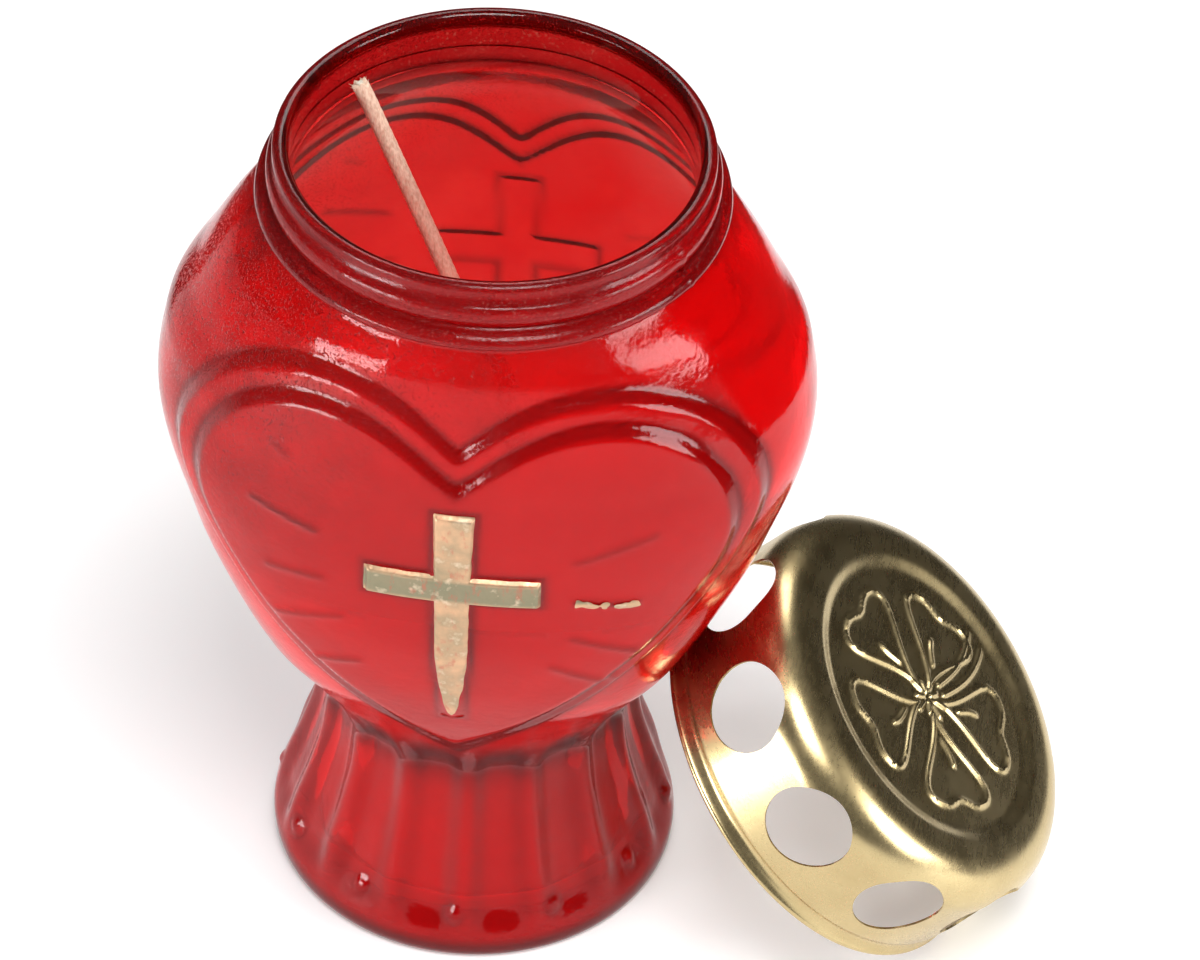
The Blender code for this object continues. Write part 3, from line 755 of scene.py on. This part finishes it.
def make_gold():
    """The painted cross, and the flecks that the roller left on a ray."""
    make_film("painted_cross", paint_depth, PAINT_AREA, "gold_cross")
    (left, top), (right, bottom), _ = RAYS[SMUDGE_RAY]
    across, up = SMUDGE_MARGIN
    make_film("gold_smudge", smudge_depth, (left - across, right + across, bottom - up, top + up))


# ------------ candle
def wax_rise(x, y, to_wall):
    """The wax's surface over its level: it climbs the glass and the wick, and dips a little between."""
    wick_x, wick_y, _ = WICK_ROUTE[WICK_EXIT]
    to_wick = np.hypot(x - wick_x, y - wick_y) - WICK_RADIUS
    size, seed, scale = WAX_RIPPLE
    return (
        MENISCUS * np.exp(-to_wall / MENISCUS_WIDTH)
        + MENISCUS / 2 * np.exp(-np.abs(to_wick) / MENISCUS_WIDTH)
        + size * uneven(x.flat, y.flat, seed, scale).reshape(x.shape)
    )


def make_wax():
    """The candle, down to the glass's floor, with rings crowded towards the wall on its top."""
    side = inner_sections(WAX_LEVEL)
    side[:, 1:3] -= WAX_GAP
    at_floor = side[:, 0] < FLOOR_THICKNESS + 2 * CORNER_CUT
    side[at_floor, 0] += WAX_GAP
    outer = ring_points(side[:1])[0]
    shares = 1 - np.linspace(0, 1, WAX_RINGS, endpoint=False)[::-1] ** WAX_CROWDING
    shares[0] = WAX_MIDDLE
    top = outer[None, :, :] * shares[:, None, None]
    reach = np.hypot(outer[:, 0], outer[:, 1])[None, :]
    to_wall = reach - np.hypot(top[..., 0], top[..., 1])
    top[..., 2] = WAX_LEVEL + wax_rise(top[..., 0], top[..., 1], to_wall)
    sides = ring_points(side)
    sides[0, :, 2] = WAX_LEVEL + MENISCUS
    wax = mesh_object("poured_wax", np.concatenate((top, sides)))
    wax.data.flip_normals()
    dress(wax, "glass", wax_material(), "wax_fill")


def route_points(route, spacing):
    """Evenly spaced points on a smooth curve through the route's own points."""
    knots = np.array(route)
    padded = np.vstack((2 * knots[0] - knots[1], knots, 2 * knots[-1] - knots[-2]))
    dense = []
    for before, start, end, after in zip(padded, padded[1:], padded[2:], padded[3:]):
        for u in np.linspace(0, 1, ROUTE_STEPS, endpoint=False):
            dense.append(
                start
                + 0.5 * u * (end - before)
                + u**2 * (before - 2.5 * start + 2 * end - 0.5 * after)
                + u**3 * (-0.5 * before + 1.5 * start - 1.5 * end + 0.5 * after)
            )
    dense = np.array([*dense, knots[-1]])
    travelled = np.concatenate(([0], np.cumsum(np.linalg.norm(np.diff(dense, axis=0), axis=1))))
    stops = np.linspace(0, travelled[-1], round(travelled[-1] / spacing) + 1)
    return np.array([np.interp(stops, travelled, dense[:, axis]) for axis in range(3)]).T


def tube_points(path, radii, around):
    """Rings round a path; radii has a row of radii for each of its points."""
    ahead = unit(np.gradient(path, axis=0))
    side = unit(np.cross(ahead, (0.0, 1.0, 0.0)))
    front = np.cross(ahead, side)
    turn = 2 * math.pi * np.arange(around) / around
    out = side[:, None, :] * np.cos(turn)[None, :, None] + front[:, None, :] * np.sin(turn)[None, :, None]
    return path[:, None, :] + out * radii[..., None]


def make_wick():
    """A braided tube, ragged at its tip, with a few loose fibres."""
    path = route_points(WICK_ROUTE, WICK_STEP)
    along = np.arange(len(path))[:, None] * WICK_STEP
    turn = 2 * math.pi * np.arange(WICK_AROUND)[None, :] / WICK_AROUND
    wind = 2 * math.pi * along / BRAID_PITCH
    strands = WICK_STRANDS / 2
    one_way = np.abs(np.sin(strands * (turn + wind / strands * 2)))
    other_way = np.abs(np.sin(strands * (turn - wind / strands * 2)))
    radii = WICK_RADIUS - BRAID_RELIEF + BRAID_RELIEF * np.maximum(one_way, other_way)
    to_tip = along[-1, 0] - along
    taper, taper_length = TIP_TAPER
    flare, flare_length = TIP_FLARE
    spread = flare * np.exp(-to_tip / flare_length) * np.sin(3 * turn)
    radii = radii * (1 - taper * np.exp(-to_tip / taper_length)) + spread
    outside = tube_points(path, radii, WICK_AROUND)
    lean = unit(path[-1] - path[-2])
    # two waves that don't line up, and more of the tip worn away than standing out
    ragged = TIP_RAGGED * (np.sin(5 * turn[0] + 0.7) * np.sin(2 * turn[0]) - 0.4)
    outside[-len(TIP_STEPS):] += lean * ragged[None, :, None] * np.array(TIP_STEPS)[:, None, None]
    bore = path[::-BORE_STEP]
    inside = tube_points(bore, np.full((len(bore), WICK_AROUND), WICK_RADIUS - WICK_WALL), WICK_AROUND)
    inside[0] -= lean * BORE_DIP
    rings = np.concatenate((outside, inside))
    ids = np.arange(len(rings) * WICK_AROUND).reshape(rings.shape[:2])
    points = rings.reshape(-1, 3)
    fibre_points, fibre_faces = make_fibres(path[-1], lean, len(points))
    faces = skin(np.vstack((ids, ids[:1]))) + fibre_faces
    wick = mesh_object("braided_wick", np.vstack((points, fibre_points)), faces)
    dress(wick, "glass", wick_material(), "wick")


def make_fibres(tip, lean, first):
    """Loose ends of thread round the wick's tip, each a thin bent cone."""
    draw = np.random.default_rng(FIBRE_SEED)
    points, faces = [], []
    side = unit(np.cross(lean, (0.0, 1.0, 0.0)))
    front = np.cross(lean, side)
    root_out, root_down = FIBRE_ROOT
    t = np.linspace(0, 1, FIBRE_RINGS)[:, None]
    radii = np.repeat(FIBRE_RADIUS * (1 - FIBRE_TAPER * t), FIBRE_SIDES, axis=1)
    ids = first + np.arange(FIBRE_RINGS * FIBRE_SIDES).reshape(FIBRE_RINGS, FIBRE_SIDES)
    for k in range(FIBRES):
        turn = 2 * math.pi * (k + draw.uniform(-FIBRE_JITTER, FIBRE_JITTER)) / FIBRES
        out = side * math.cos(turn) + front * math.sin(turn)
        root = tip + out * WICK_RADIUS * root_out - lean * root_down
        length = draw.uniform(*FIBRE_LENGTHS)
        spread = draw.uniform(*FIBRE_SPREADS)
        path = root + lean * length * t + out * length * spread * t**2
        points.append(tube_points(path, radii, FIBRE_SIDES).reshape(-1, 3))
        faces += closed_skin(ids + k * ids.size)
    return np.vstack(points), faces


# ------------ cap
def cap_profile():
    """(radius, height) down the cap's outside, from the middle of its panel to the rolled rim."""
    flat = np.linspace(PANEL_MIDDLE, PANEL_FLAT, PANEL_RINGS)
    panel = CAP_HEIGHT - PANEL_DEPTH
    climb = np.linspace(PANEL_FLAT, PANEL_RIM, CLIMB_RINGS)[1:]
    arc = np.radians(np.linspace(90, 0, SHOULDER_RINGS))
    shoulder = CAP_RADIUS - CAP_SHOULDER
    groove_top, groove_bottom = GROOVE_SPAN
    skirt = np.linspace(CAP_HEIGHT - CAP_SHOULDER, groove_top, SKIRT_RINGS)[1:]
    groove = np.linspace(groove_top, groove_bottom, GROOVE_RINGS)[1:]
    dip = GROOVE_DEPTH * np.sin(math.pi * (groove - groove_bottom) / (groove_top - groove_bottom))
    roll = np.radians(np.linspace(*RIM_ROLL_SPAN, ROLL_RINGS))
    return np.vstack((
        np.column_stack((flat, panel + PANEL_DOME * (1 - (flat / PANEL_FLAT) ** 2))),
        np.column_stack((climb, panel + PANEL_DEPTH * smooth(climb, PANEL_FLAT, PANEL_RIM))),
        np.column_stack((
            shoulder + CAP_SHOULDER * np.cos(arc),
            CAP_HEIGHT - CAP_SHOULDER + CAP_SHOULDER * np.sin(arc),
        )),
        np.column_stack((np.full(len(skirt), CAP_RADIUS), skirt)),
        np.column_stack((CAP_RADIUS - dip, groove)),
        np.column_stack((RIM_CENTRE[0] + RIM_ROLL * np.cos(roll), RIM_CENTRE[1] + RIM_ROLL * np.sin(roll))),
    ))


def petal(turn):
    """The closed outline of one petal, with a shallow notch in its tip."""
    t = np.linspace(0, 1, PETAL_POINTS)
    swell = np.sin(math.pi * t)
    depth, width = PETAL_NOTCH
    notch = 1 - depth * np.exp(-((t - 0.5) / width) ** 2)
    along = PETAL_ROOT + PETAL_LENGTH * swell**PETAL_FULLNESS * notch
    narrowing = 1 - PETAL_NARROWING * (1 - swell)
    across = PETAL_WIDTH * np.sin(2 * math.pi * t) * narrowing
    return np.column_stack((
        along * math.cos(turn) - across * math.sin(turn),
        along * math.sin(turn) + across * math.cos(turn),
    ))


def flower_lines():
    """The embossed flower as lines: petals, a vein in each, short stamens and a curved stem."""

    def line(radii, turns):
        return np.column_stack((radii * np.cos(turns), radii * np.sin(turns)))

    lines = []
    start, end, bend = VEIN
    vein = np.linspace(PETAL_ROOT + start, PETAL_ROOT + end, VEIN_POINTS)
    for k in range(PETALS):
        turn = PETAL_TURN + 2 * math.pi * k / PETALS
        lines.append(petal(turn))
        lines.append(line(vein, turn + bend * np.sin(np.linspace(0, 2, len(vein)))))
    for k in range(STAMENS):
        turn = 2 * math.pi * (k + STAMEN_TURN) / STAMENS
        lines.append(line(np.array(STAMEN_SPANS[k % 2]), turn))
    between = PETAL_TURN + math.pi / PETALS
    stem = np.linspace(*STEM, STEM_POINTS)
    for side in (-1, 1):
        apart = side * (STEM_SPREAD + STEM_HALF_WIDTH / stem)
        lines.append(line(stem, between + apart + STEM_BEND * (stem / PANEL_FLAT) ** 2))
    return lines


def emboss_height(x, y):
    """How far the flower's lines stand out of the panel."""
    height = np.zeros(x.shape)
    for line in flower_lines():
        away = distance_to_line(x, y, line) / EMBOSS_HALF_WIDTH
        height = np.maximum(height, EMBOSS_RISE * np.exp(-away**2))
    return height


def make_cap():
    """The stamping, unrolled while its vents are cut, then thickened and leaned on the glass."""
    profile = cap_profile()
    travelled = np.concatenate(([0], np.cumsum(np.hypot(*np.diff(profile, axis=0).T))))
    around = 2 * math.pi * CAP_RADIUS * np.arange(CAP_AROUND + 1) / CAP_AROUND
    pairs, faces = grid(travelled, around)
    faces = np.where(faces % (CAP_AROUND + 1) == CAP_AROUND, faces - CAP_AROUND, faces)

    def place(pairs):
        """Radius, height and turn of pairs of distances down the profile and round the skirt."""
        radius = np.interp(pairs[:, 0], travelled, profile[:, 0])
        height = np.interp(pairs[:, 0], travelled, profile[:, 1])
        return radius, height, pairs[:, 1] / CAP_RADIUS

    def outside_vents(pairs):
        """Distance outside the nearest vent, and 1 on the panel, which has none."""
        radius, height, turn = place(pairs)
        step = 2 * math.pi / VENTS
        offset = (turn + step / 2) % step - step / 2
        away = np.hypot(radius * np.sin(offset), height - VENT_HEIGHT) - VENT_RADIUS
        return np.where(radius > PANEL_RIM, away, 1.0)

    pairs, faces = trim(pairs, faces, outside_vents, VENT_REACH)
    radius, height, turn = place(pairs)
    x, y = radius * np.cos(turn), radius * np.sin(turn)
    on_panel = radius < PANEL_FLAT
    height[on_panel] += emboss_height(x[on_panel], y[on_panel])
    middle = [list(range(CAP_AROUND))]
    cap = mesh_object("gold_cap", np.column_stack((x, y, height)), faces.tolist() + middle)
    thicken(cap, CAP_SHEET, -1.0)
    lean = Matrix.Rotation(CAP_TURN, 4, "Z") @ Matrix.Rotation(math.radians(90) - CAP_LEAN, 4, "Y")
    cap.data.transform(lean)
    joint_x, joint_y, _ = frame["joints"][0]["pos_m"]
    lowest = min(vertex.co.z for vertex in cap.data.vertices)
    cap.data.transform(Matrix.Translation((joint_x, joint_y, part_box("cap")[0].z - lowest)))
    dress(cap, "cap", gold_tinplate_material(), "cap")


# ------------ materials
MIX_UNDER, MIX_OVER, MIX_RESULT = 6, 7, 2    # a mix node's colour sockets, which share their names


def new_material(name, **plain):
    """A material, its nodes and its shader, with the sockets that are the same all over set."""
    material = bpy.data.materials.new(name)
    material.use_nodes = True
    shader = material.node_tree.nodes["Principled BSDF"]
    for socket, value in plain.items():
        shader.inputs[socket.replace("_", " ")].default_value = value
    return material, material.node_tree, shader


def noise_in(tree, scale, detail=4.0, roughness=0.55, stretch=(1.0, 1.0, 1.0)):
    """Noise in the surface's own coordinates, which may be stretched."""
    own = tree.nodes.new("ShaderNodeTexCoord")
    mapping = tree.nodes.new("ShaderNodeMapping")
    mapping.inputs["Scale"].default_value = stretch
    tree.links.new(own.outputs["Object"], mapping.inputs["Vector"])
    texture = tree.nodes.new("ShaderNodeTexNoise")
    for name, value in (("Scale", scale), ("Detail", detail), ("Roughness", roughness)):
        texture.inputs[name].default_value = value
    tree.links.new(mapping.outputs["Vector"], texture.inputs["Vector"])
    return texture.outputs["Fac"]


def remap(tree, value, low, high, to_low=0.0, to_high=1.0):
    """Carry a value's range low to high to another range, and hold it there."""
    node = tree.nodes.new("ShaderNodeMapRange")
    for name, number in zip(("From Min", "From Max", "To Min", "To Max"), (low, high, to_low, to_high)):
        node.inputs[name].default_value = number
    tree.links.new(value, node.inputs["Value"])
    return node.outputs["Result"]


def patches(tree, scale, detail, *span, **shape):
    """Noise, of which a range is carried to another range, or to 0 to 1."""
    return remap(tree, noise_in(tree, scale, detail, **shape), *span)


def combine(tree, operation, first, second):
    """Math on two values, of which the second may be a plain number."""
    node = tree.nodes.new("ShaderNodeMath")
    node.operation = operation
    tree.links.new(first, node.inputs[0])
    if isinstance(second, (int, float)):
        node.inputs[1].default_value = second
    else:
        tree.links.new(second, node.inputs[1])
    return node.outputs["Value"]


def layered(tree, colour, *layers):
    """Lay colours over a first one, each with the share that it covers."""
    for share, over in layers:
        node = tree.nodes.new("ShaderNodeMix")
        node.data_type = "RGBA"
        tree.links.new(share, node.inputs["Factor"])
        if isinstance(colour, tuple):
            node.inputs[MIX_UNDER].default_value = (*colour, 1.0)
        else:
            tree.links.new(colour, node.inputs[MIX_UNDER])
        node.inputs[MIX_OVER].default_value = (*over, 1.0)
        colour = node.outputs[MIX_RESULT]
    return colour


def height_in(tree, low, high, slant=(0.0, 0.0, 1.0)):
    """0 to 1 along a slanted direction through the object, between two distances."""
    own = tree.nodes.new("ShaderNodeTexCoord")
    along = tree.nodes.new("ShaderNodeVectorMath")
    along.operation = "DOT_PRODUCT"
    along.inputs[1].default_value = slant
    tree.links.new(own.outputs["Object"], along.inputs[0])
    return remap(tree, along.outputs["Value"], low, high)


def finish(tree, shader, colour, roughness, height, depth):
    """Wire patterns to the shader's colour and roughness, and bumps of a depth in metres."""
    bump = tree.nodes.new("ShaderNodeBump")
    bump.inputs["Strength"].default_value = 1.0
    bump.inputs["Distance"].default_value = depth
    tree.links.new(height, bump.inputs["Height"])
    tree.links.new(bump.outputs["Normal"], shader.inputs["Normal"])
    tree.links.new(colour, shader.inputs["Base Color"])
    tree.links.new(roughness, shader.inputs["Roughness"])


def red_glass_material():
    """Red lacquer on pressed glass: mottled and speckled darker towards the upper left, dusty at the neck,
    with painted shade along its relief, ribs, studs, waist, foot's edge and neck's grooves.
    """
    material, tree, shader = new_material(
        "red_glass", IOR=1.34, Transmission_Weight=0.74, Specular_IOR_Level=0.30
    )
    # the lacquer attribute carries painted shade, laid dark over the colour
    lacquer = tree.nodes.new("ShaderNodeAttribute")
    lacquer.attribute_name = "lacquer"
    shade_share = combine(tree, "MULTIPLY", lacquer.outputs["Fac"], 0.95)
    # 0 to 1 towards the upper left, where the glass is mottled and speckled darker
    thin = height_in(tree, 0.100, 0.150, slant=(-0.75, -0.10, 0.85))
    clouds = combine(tree, "MULTIPLY", patches(tree, 70, 6.0, 0.42, 0.62, 0.0, 0.75, roughness=0.7), thin)
    specks = combine(tree, "MULTIPLY", patches(tree, 2300, 2.0, 0.57, 0.66), thin)
    neck = height_in(tree, NECK_BASE, NECK_BASE + 0.0015)
    # painted shade: a dark band at the foot's lower edge
    foot_edge_shade = height_in(tree, 0.0050, 0.0026)
    dust = combine(tree, "MULTIPLY", patches(tree, 1700, 3.0, 0.60, 0.76, 0.0, 0.50), neck)
    colour = layered(
        tree,
        (0.97, 0.0025, 0.0040),
        (patches(tree, 45, 5.0, 0.38, 0.66), (0.88, 0.0020, 0.0030)),
        # painted shade
        (shade_share, (0.10, 0.0008, 0.0015)),
        (clouds, (0.40, 0.0040, 0.0040)),
        (specks, (0.16, 0.0010, 0.0015)),
        (combine(tree, "MULTIPLY", neck, 0.8), (0.26, 0.0012, 0.0025)),
        (foot_edge_shade, (0.30, 0.0012, 0.0020)),
        (dust, (0.62, 0.23, 0.21)),
    )
    gloss = patches(tree, 130, 4.0, 0.35, 0.70, 0.04, 0.13)
    dull = combine(tree, "MULTIPLY", neck, patches(tree, 420, 3.0, 0.3, 0.7, 0.0, 0.14))
    waves = patches(tree, 85, 3.0, 0.0, 1.0, 0.0, 3.0)
    peel = combine(tree, "ADD", waves, noise_in(tree, 900, 2.0))
    surface = combine(tree, "ADD", peel, combine(tree, "MULTIPLY", specks, -1.5))
    finish(tree, shader, colour, combine(tree, "ADD", gloss, dull), surface, 0.00004)
    return material


def bare_glass_material():
    """The inside faces, where some of the lacquer's mist settled."""
    material, tree, shader = new_material(
        "bare_glass", IOR=1.34, Transmission_Weight=1.0, Specular_IOR_Level=0.30
    )
    mist = patches(tree, 60, 5.0, 0.46, 0.72)
    drops = patches(tree, 1900, 2.0, 0.64, 0.72)
    colour = layered(
        tree, (0.46, 0.026, 0.018), (mist, (0.56, 0.080, 0.040)), (drops, (0.42, 0.010, 0.010))
    )
    gloss = patches(tree, 150, 4.0, 0.3, 0.7, 0.02, 0.14)
    finish(tree, shader, colour, gloss, noise_in(tree, 110, 3.0), 0.00010)
    return material


def gold_paint_material():
    """Gold size rolled on thinly: brushed, uneven, with the red showing faintly through."""
    material, tree, shader = new_material("gold_paint", Metallic=0.55)
    # painted shade: the arms' gold is darker than the shaft's, standing for the dark surroundings reflected
    # in them
    over_arms = height_in(tree, ARM_HEIGHT - ARM_HALF_WIDTH, ARM_HEIGHT - ARM_HALF_WIDTH + 0.0008)
    under_arms = height_in(tree, ARM_HEIGHT + ARM_HALF_WIDTH, ARM_HEIGHT + ARM_HALF_WIDTH - 0.0008)
    arms = combine(tree, "MULTIPLY", combine(tree, "MULTIPLY", over_arms, under_arms), 0.85)
    thin = patches(tree, 700, 4.0, 0.56, 0.68, 0.0, 0.5, stretch=(1.0, 1.0, 0.45))
    glints = patches(tree, 420, 4.0, 0.58, 0.72, 0.0, 0.6)
    colour = layered(
        tree,
        (0.64, 0.38, 0.22),
        (patches(tree, 210, 5.0, 0.36, 0.66), (0.36, 0.27, 0.16)),
        (arms, (0.20, 0.195, 0.12)),
        (thin, (0.50, 0.10, 0.06)),
        (glints, (0.80, 0.62, 0.44)),
    )
    gloss = patches(tree, 500, 4.0, 0.3, 0.7, 0.28, 0.55)
    finish(tree, shader, colour, gloss, noise_in(tree, 900, 4.0, stretch=(1.0, 1.0, 0.35)), 0.00012)
    return material


def wax_material():
    """Poured paraffin: off-white, cloudy, its skin a little uneven."""
    material, tree, shader = new_material(
        "wax", Subsurface_Weight=0.25, Subsurface_Scale=0.004, Subsurface_Radius=(1.0, 0.7, 0.5)
    )
    clouds = patches(tree, 70, 5.0, 0.35, 0.68)
    soot = patches(tree, 1300, 2.0, 0.68, 0.76, 0.0, 0.6)
    colour = layered(tree, (0.88, 0.84, 0.76), (clouds, (0.78, 0.70, 0.60)), (soot, (0.35, 0.25, 0.20)))
    gloss = patches(tree, 160, 4.0, 0.3, 0.7, 0.30, 0.55)
    finish(tree, shader, colour, gloss, noise_in(tree, 240, 5.0), 0.00025)
    return material


def wick_material():
    """Waxed cotton braid: cream, and pinker in patches low down."""
    material, tree, shader = new_material("wick_braid")
    threads = patches(tree, 2600, 4.0, 0.35, 0.68, stretch=(1.0, 1.0, 0.25))
    pink_patches = patches(tree, 260, 4.0, 0.25, 0.65, 0.45, 1.0)
    lower_pink = combine(tree, "MULTIPLY", height_in(tree, 0.150, 0.098), pink_patches)
    colour = layered(tree, (0.86, 0.66, 0.50), (threads, (0.60, 0.36, 0.25)), (lower_pink, (0.66, 0.24, 0.17)))
    weave = noise_in(tree, 3200, 3.0, stretch=(1.0, 1.0, 0.3))
    finish(tree, shader, colour, remap(tree, threads, 0.0, 1.0, 0.65, 0.92), weave, 0.00012)
    return material


def wick_paper_material():
    """Twisted paper core, stained by wax."""
    material, tree, shader = new_material("wick_paper")
    fibres = patches(tree, 1800, 5.0, 0.34, 0.68, stretch=(1.0, 1.0, 0.2))
    colour = layered(tree, (0.82, 0.76, 0.64), (fibres, (0.58, 0.48, 0.36)))
    gloss = remap(tree, fibres, 0.0, 1.0, 0.60, 0.88)
    finish(tree, shader, colour, gloss, noise_in(tree, 2600, 4.0), 0.00008)
    return material


def tinplate_material():
    """Rolled tinplate with its grain along X and small dull spots."""
    material, tree, shader = new_material("tinplate", Metallic=1.0)
    grain = noise_in(tree, 2400, 4.0, stretch=(0.06, 1.0, 1.0))
    spots = patches(tree, 900, 3.0, 0.62, 0.74, 0.0, 0.8)
    rolled = (remap(tree, grain, 0.3, 0.7), (0.52, 0.51, 0.49))
    colour = layered(tree, (0.74, 0.73, 0.70), rolled, (spots, (0.34, 0.27, 0.21)))
    finish(tree, shader, colour, remap(tree, grain, 0.3, 0.7, 0.25, 0.48), grain, 0.00003)
    return material


def gold_tinplate_material():
    """Tinplate under gold lacquer: fine rolling grain, drawn streaks, tiny scratches and dull marks."""
    material, tree, shader = new_material("gold_tinplate", Metallic=1.0)
    scratches = patches(tree, 1500, 2.0, 0.64, 0.74, 0.0, 0.14, stretch=(1.0, 0.05, 1.0))
    colour = layered(
        tree,
        (0.585, 0.465, 0.245),
        (patches(tree, 75, 4.0, 0.35, 0.68), (0.52, 0.405, 0.205)),
        (patches(tree, 1100, 4.0, 0.58, 0.80, 0.0, 0.30), (0.40, 0.29, 0.13)),
        (scratches, (0.86, 0.76, 0.52)),
    )
    grain = noise_in(tree, 1800, 3.0, stretch=(1.0, 0.12, 1.0))
    gloss = patches(tree, 160, 4.0, 0.32, 0.70, 0.23, 0.29)
    gloss = combine(tree, "ADD", gloss, remap(tree, grain, 0.35, 0.70, 0.0, 0.04))
    surface = combine(tree, "ADD", patches(tree, 110, 3.0, 0.0, 1.0, 0.0, 20.0), grain)
    finish(tree, shader, colour, gloss, surface, 0.0000015)
    return material


def dress_kept_solids():
    """The core and the sustainer keep their solids, with detailed materials."""
    for node, material in (("wick_core", wick_paper_material()), ("wick_sustainer", tinplate_material())):
        mesh = bpy.data.objects[node].data
        mesh.materials.clear()
        mesh.materials.append(material)


# ------------ studio and camera
CAMERA_TARGET = Vector((0.0206, 0.0, 0.0885))
CAMERA_DISTANCE = 0.8983
CAMERA_ELEVATION = math.radians(43.13)
CAMERA_AZIMUTH = math.radians(4.34)
CAMERA_ROLL = math.radians(3.07)
CAMERA_LENS = 151.78
SENSOR_WIDTH = 36.0
CLIP_START = 0.05


def direction(azimuth, elevation):
    """Out from the lamp: azimuth is round from the front, towards +X."""
    return Vector((
        math.sin(azimuth) * math.cos(elevation),
        -math.cos(azimuth) * math.cos(elevation),
        math.sin(elevation),
    ))


def make_camera():
    back = direction(CAMERA_AZIMUTH, CAMERA_ELEVATION)
    data = bpy.data.cameras.new("camera")
    data.lens = CAMERA_LENS
    data.sensor_width = SENSOR_WIDTH
    data.clip_start = CLIP_START
    camera = add_object("camera", data)
    level = back.to_track_quat("Z", "Y").to_matrix().to_4x4()
    turn = Matrix.Rotation(CAMERA_ROLL, 4, "Z")
    camera.matrix_world = Matrix.Translation(CAMERA_TARGET + back * CAMERA_DISTANCE) @ level @ turn
    bpy.context.scene.camera = camera


# name, azimuth from the front and elevation in degrees, distance, width and height, power
SOFTBOXES = (
    ("left_softbox", -48, 4, 0.90, (0.44, 0.22), 5.6),
    ("right_softbox", 76, 15, 0.90, (0.50, 0.32), 5.4),
    ("front_softbox", 20, 64, 1.00, (0.45, 0.40), 7.4),
    ("back_softbox", 180, 52, 1.00, (0.60, 0.40), 3.6),
)
LIGHT_AIM = Vector((0.0, 0.0, 0.09))
FLOOR_REACH = 4.0
FLOOR_GLOW = 0.20           # it is lit a little from below, which lightens the shadows
FLOOR_DROP = 0.0003         # the floor is this far under the foot
SCREEN_RADIUS = 0.30
SCREEN_HEIGHT = 0.34
SCREEN_SPAN = (85, 235)     # degrees round from the front
SCREEN_STEP = 5
WORLD_LIGHT = 0.15


def add_softbox(name, azimuth, elevation, distance, size, power):
    data = bpy.data.lights.new(name, "AREA")
    data.shape = "RECTANGLE"
    data.size, data.size_y = size
    data.energy = power
    light = add_object(name, data)
    out = direction(math.radians(azimuth), math.radians(elevation))
    light.location = LIGHT_AIM + out * distance
    light.rotation_euler = out.to_track_quat("Z", "Y").to_euler()
    light.visible_camera = False


def make_floor():
    """Plain pale paper with a trace of grain, on a light table."""
    mesh = bpy.data.meshes.new("floor")
    corners = [(x * FLOOR_REACH, y * FLOOR_REACH, 0) for x, y in ((-1, -1), (1, -1), (1, 1), (-1, 1))]
    mesh.from_pydata(corners, [], [(0, 1, 2, 3)])
    floor = add_object("floor", mesh)
    floor.location.z = -FLOOR_DROP
    material, tree, shader = new_material(
        "pale_floor", Roughness=0.6, Emission_Color=(1.0, 1.0, 1.0, 1.0), Emission_Strength=FLOOR_GLOW
    )
    grain = patches(tree, 600, 4.0, 0.3, 0.7)
    colour = layered(tree, (0.935, 0.935, 0.935), (grain, (0.915, 0.915, 0.915)))
    tree.links.new(colour, shader.inputs["Base Color"])
    mesh.materials.append(material)


def make_dark_screen():
    """A dark backdrop round the far side that only the shiny surfaces see."""
    turns = [math.radians(turn) for turn in range(SCREEN_SPAN[0], SCREEN_SPAN[1] + 1, SCREEN_STEP)]
    points = [
        (SCREEN_RADIUS * math.sin(turn), -SCREEN_RADIUS * math.cos(turn), height)
        for turn in turns
        for height in (0.0, SCREEN_HEIGHT)
    ]
    faces = [(2 * k, 2 * k + 2, 2 * k + 3, 2 * k + 1) for k in range(len(turns) - 1)]
    mesh = bpy.data.meshes.new("dark_screen")
    mesh.from_pydata(points, [], faces)
    screen = add_object("dark_screen", mesh)
    mesh.materials.append(new_material("dark_cloth", Base_Color=(0.02, 0.018, 0.015, 1.0), Roughness=0.9)[0])
    screen.visible_camera = False
    screen.visible_diffuse = False
    screen.visible_shadow = False
    screen.visible_transmission = False


def make_studio():
    make_floor()
    make_dark_screen()
    world = bpy.data.worlds.new("studio")
    world.use_nodes = True
    world.node_tree.nodes["Background"].inputs["Color"].default_value = (*[WORLD_LIGHT] * 3, 1.0)
    bpy.context.scene.world = world
    for softbox in SOFTBOXES:
        add_softbox(*softbox)
    bpy.context.scene.view_settings.view_transform = "Standard"


make_glass()
make_gold()
make_wax()
make_wick()
make_cap()
dress_kept_solids()
make_camera()
make_studio()
